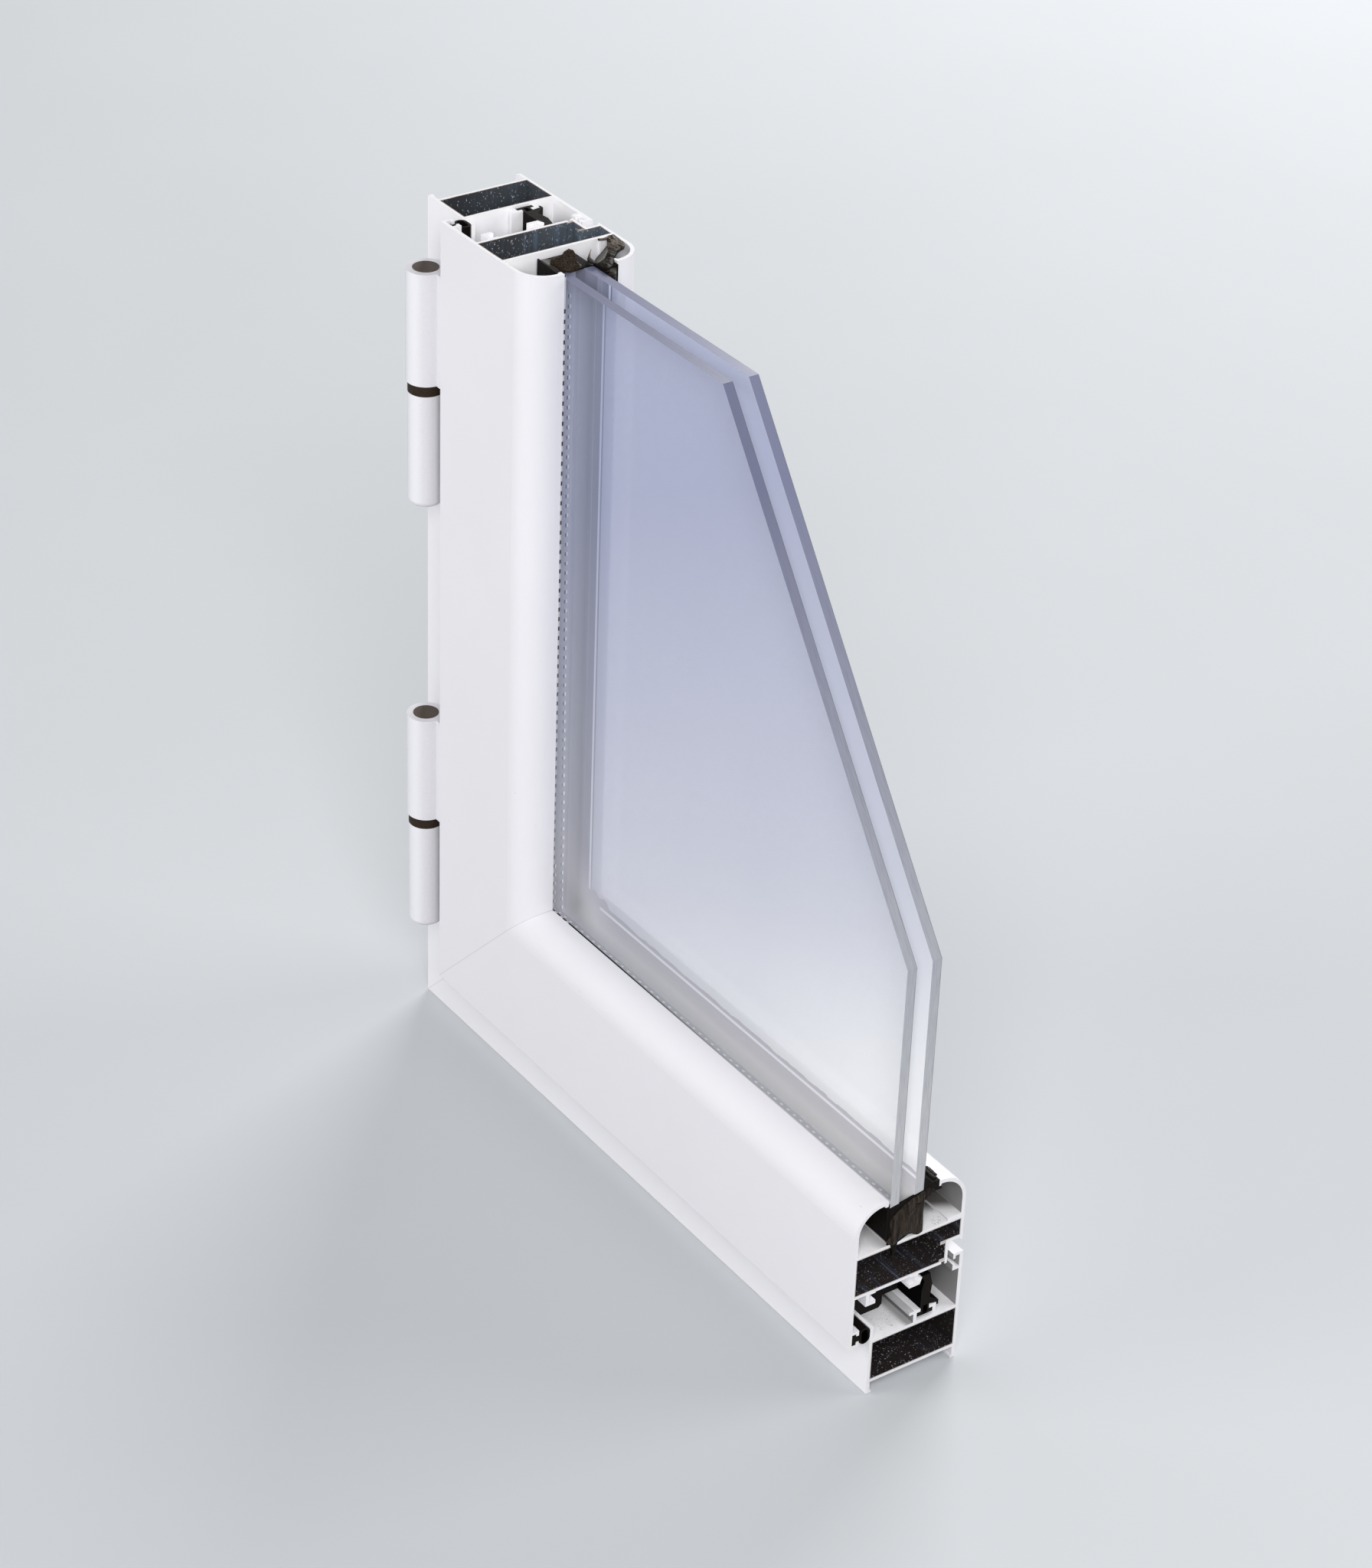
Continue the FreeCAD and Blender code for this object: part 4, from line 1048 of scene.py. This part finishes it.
RAIL_TAIL = [(6.3, 65.8), (8.9, 65.6), (8.9, 64.0), (8.4, 61.6), (7.9, 60.2), (6.9, 59.9),
             (7.0, 62.2), (6.3, 64.2)]
RAIL_GASKET = [(19.9, 83.7), (21.8, 83.6), (23.6, 82.9), (24.7, 81.8), (24.4, 80.7),
               (23.3, 80.7), (22.8, 79.4), (21.6, 78.9), (20.1, 79.0), (20.0, 81.6)]

# Shreds on the bead's lip: outline, how far in from the sawn end they start, and length.
RAIL_SHREDS = [([(24.3, 84.7), (25.3, 84.8), (26.2, 84.9), (26.1, 85.6), (25.2, 86.0),
                 (24.4, 85.7)], 1.4, 6.6),
               ([(25.7, 84.9), (26.7, 84.9), (27.5, 84.9), (27.4, 85.5), (26.6, 85.9),
                 (25.8, 85.7)], 3.0, 5.4),
               ([(26.9, 84.8), (27.7, 84.9), (27.6, 85.4), (27.0, 85.5)], 5.2, 2.6),
               ([(24.4, 84.7), (25.1, 84.7), (25.0, 85.3), (24.5, 85.3)], -0.2, 1.8)]
STILE_SEALANT = [(7.4, 80.0), (7.3, 74.7), (7.0, 71.3), (7.8, 71.0), (9.8, 70.9), (12.7, 69.7),
                 (15.9, 67.1), (17.9, 66.6), (18.5, 68.1), (17.7, 70.6), (15.9, 74.5),
                 (14.4, 77.5), (13.4, 80.0)]
STILE_BED = [(12.5, 80.0), (13.0, 72.0), (17.6, 67.2), (19.4, 68.2), (19.4, 80.0)]
STILE_WEDGE = [(15.3, 76.0), (14.7, 79.8), (12.9, 79.9), (13.7, 78.5)]
STILE_SHEEN = [(31.7, 70.3), (26.9, 74.0), (22.8, 77.0), (20.3, 79.5), (20.3, 81.5),
               (24.5, 79.5), (28.3, 75.8), (31.1, 72.5)]
STILE_STRAP = [(34.7, 65.7), (36.4, 65.4), (37.5, 65.8), (37.5, 70.3), (36.0, 74.9),
               (33.5, 76.1), (31.1, 77.5), (28.6, 80.0), (25.7, 83.7), (22.4, 86.6),
               (20.2, 87.2), (19.8, 85.0), (20.4, 81.8), (24.0, 80.3), (27.6, 76.4),
               (30.1, 73.9), (31.2, 71.1)]
STILE_TENDRIL = [(30.9, 65.4), (32.9, 65.9), (35.7, 65.5), (34.9, 67.0), (32.7, 66.9),
                 (30.9, 66.4)]
STILE_ROOT = [(20.9, 78.9), (23.3, 78.4), (24.2, 80.9), (26.9, 81.9), (26.8, 83.3),
              (23.5, 88.7), (20.6, 92.2), (19.7, 90.7), (19.6, 87.5), (20.2, 83.7)]
STILE_THORN = [(24.5, 70.9), (22.8, 72.6), (20.1, 75.5), (18.0, 78.2), (18.1, 80.9),
               (19.4, 81.9), (20.0, 79.1), (20.2, 77.0), (22.0, 74.1)]


CAMERA_PLACE = Vector((1.0178, -0.72405, 0.9438))
CAMERA_AZIMUTH = math.radians(54.35485)
CAMERA_ELEVATION = math.radians(31.65523)
CAMERA_ROLL = math.radians(2.23012)


class WINDOW_OT_studio(bpy.types.Operator):
    """Sets up the floor, the lamps and the camera"""

    bl_idname = "window_corner.studio"
    bl_label = "Studio"

    def execute(self, context):
        look = context.scene.window_studio
        self.floor(look)
        self.light(look)
        self.camera(context, look)
        context.scene.view_settings.view_transform = "Standard"
        return {"FINISHED"}

    def floor(self, look):
        shell = bmesh.new()
        bmesh.ops.create_circle(shell, cap_ends=True, segments=96, radius=7.0)
        mesh = bpy.data.meshes.new("studio_floor")
        shell.to_mesh(mesh)
        shell.free()
        piece = bpy.data.objects.new("studio_floor", mesh)
        bpy.context.scene.collection.objects.link(piece)
        mesh.transform(Matrix.Translation((0.0, 0.0, CAD_BOX[0][2] - 0.0002)))
        sheet = Sheet("studio_paper")
        corner = sheet.node("ShaderNodeTexCoord", output="Object")
        grain = sheet.noise(corner, 6.0, 2.0)
        tint = sheet.mix(sheet.ease(grain, 0.3, 0.7), tuple(look.floor),
                         tuple(0.985 * part for part in look.floor))
        mesh.materials.append(sheet.surface(Base_Color=tint, Roughness=0.9))

    def light(self, look):
        world = bpy.data.worlds.new("studio_world")
        bpy.context.scene.world = world
        world.use_nodes = True
        tree = world.node_tree
        tree.nodes.clear()
        glow = tree.nodes.new("ShaderNodeBackground")
        glow.inputs["Color"].default_value = (0.98, 0.985, 1.0, 1.0)
        glow.inputs["Strength"].default_value = look.ambient
        out = tree.nodes.new("ShaderNodeOutputWorld")
        tree.links.new(glow.outputs[0], out.inputs["Surface"])
        self.lamp("key_lamp", (-0.85, -2.35, 1.4), 1.6, look.key)
        self.lamp("fill_lamp", (1.8, -1.2, 1.7), 1.3, look.fill)
        self.lamp("back_lamp", (-1.5, 2.1, 1.4), 1.5, look.back)
        self.lamp("rear_lamp", (1.2, 2.2, 1.5), 1.5, look.rear)

    def lamp(self, name, place, side, power):
        data = bpy.data.lights.new(name, "AREA")
        data.energy = power
        data.shape = "SQUARE"
        data.size = side
        lamp = bpy.data.objects.new(name, data)
        bpy.context.scene.collection.objects.link(lamp)
        lamp.location = place
        aim = Vector((0.0, 0.0, 0.17)) - Vector(place)
        lamp.rotation_euler = aim.to_track_quat("-Z", "Y").to_euler()

    def camera(self, context, look):
        data = bpy.data.cameras.new("studio_camera")
        data.sensor_width = 36.0
        data.lens = look.lens
        data.clip_end = 50.0
        camera = bpy.data.objects.new("studio_camera", data)
        context.scene.collection.objects.link(camera)
        level = Vector((math.sin(CAMERA_AZIMUTH) * math.cos(CAMERA_ELEVATION),
                        -math.cos(CAMERA_AZIMUTH) * math.cos(CAMERA_ELEVATION),
                        math.sin(CAMERA_ELEVATION)))
        side = UP_AXIS.cross(level).normalized()
        over = level.cross(side)
        right = math.cos(CAMERA_ROLL) * side + math.sin(CAMERA_ROLL) * over
        up = -math.sin(CAMERA_ROLL) * side + math.cos(CAMERA_ROLL) * over
        turned = Matrix((right, up, level)).transposed().to_4x4()
        camera.matrix_world = Matrix.Translation(CAMERA_PLACE) @ turned
        context.scene.camera = camera


class WINDOW_PT_corner(bpy.types.Panel):
    """Buttons for each step"""

    bl_label = "Window corner"
    bl_idname = "WINDOW_PT_corner"
    bl_space_type = "VIEW_3D"
    bl_region_type = "UI"
    bl_category = "Window"

    def draw(self, context):
        for operator in OPERATORS:
            self.layout.operator(operator.bl_idname)
        for group in SETTINGS:
            look = getattr(context.scene, group)
            for name in look.bl_rna.properties.keys():
                if name not in ("rna_type", "name"):
                    self.layout.prop(look, name)


SETTINGS = {
    "window_coat": CoatSettings,
    "window_glass": GlassSettings,
    "window_rubber": RubberSettings,
    "window_hinge": HingeSettings,
    "window_studio": StudioSettings,
}
OPERATORS = [
    WINDOW_OT_studio,
    WINDOW_OT_profiles,
    WINDOW_OT_glass_unit,
    WINDOW_OT_gaskets,
    WINDOW_OT_hinges,
    WINDOW_OT_end_pieces,
]


def register():
    for group, settings in SETTINGS.items():
        bpy.utils.register_class(settings)
        setattr(bpy.types.Scene, group, bpy.props.PointerProperty(type=settings))
    for operator in OPERATORS:
        bpy.utils.register_class(operator)
    bpy.utils.register_class(WINDOW_PT_corner)


def unregister():
    bpy.utils.unregister_class(WINDOW_PT_corner)
    for operator in reversed(OPERATORS):
        bpy.utils.unregister_class(operator)
    for group, settings in reversed(SETTINGS.items()):
        delattr(bpy.types.Scene, group)
        bpy.utils.unregister_class(settings)


def main():
    register()
    for operator in OPERATORS:
        step = operator.bl_idname.split(".")[1]
        getattr(bpy.ops.window_corner, step)()


if __name__ == "__main__":
    main()
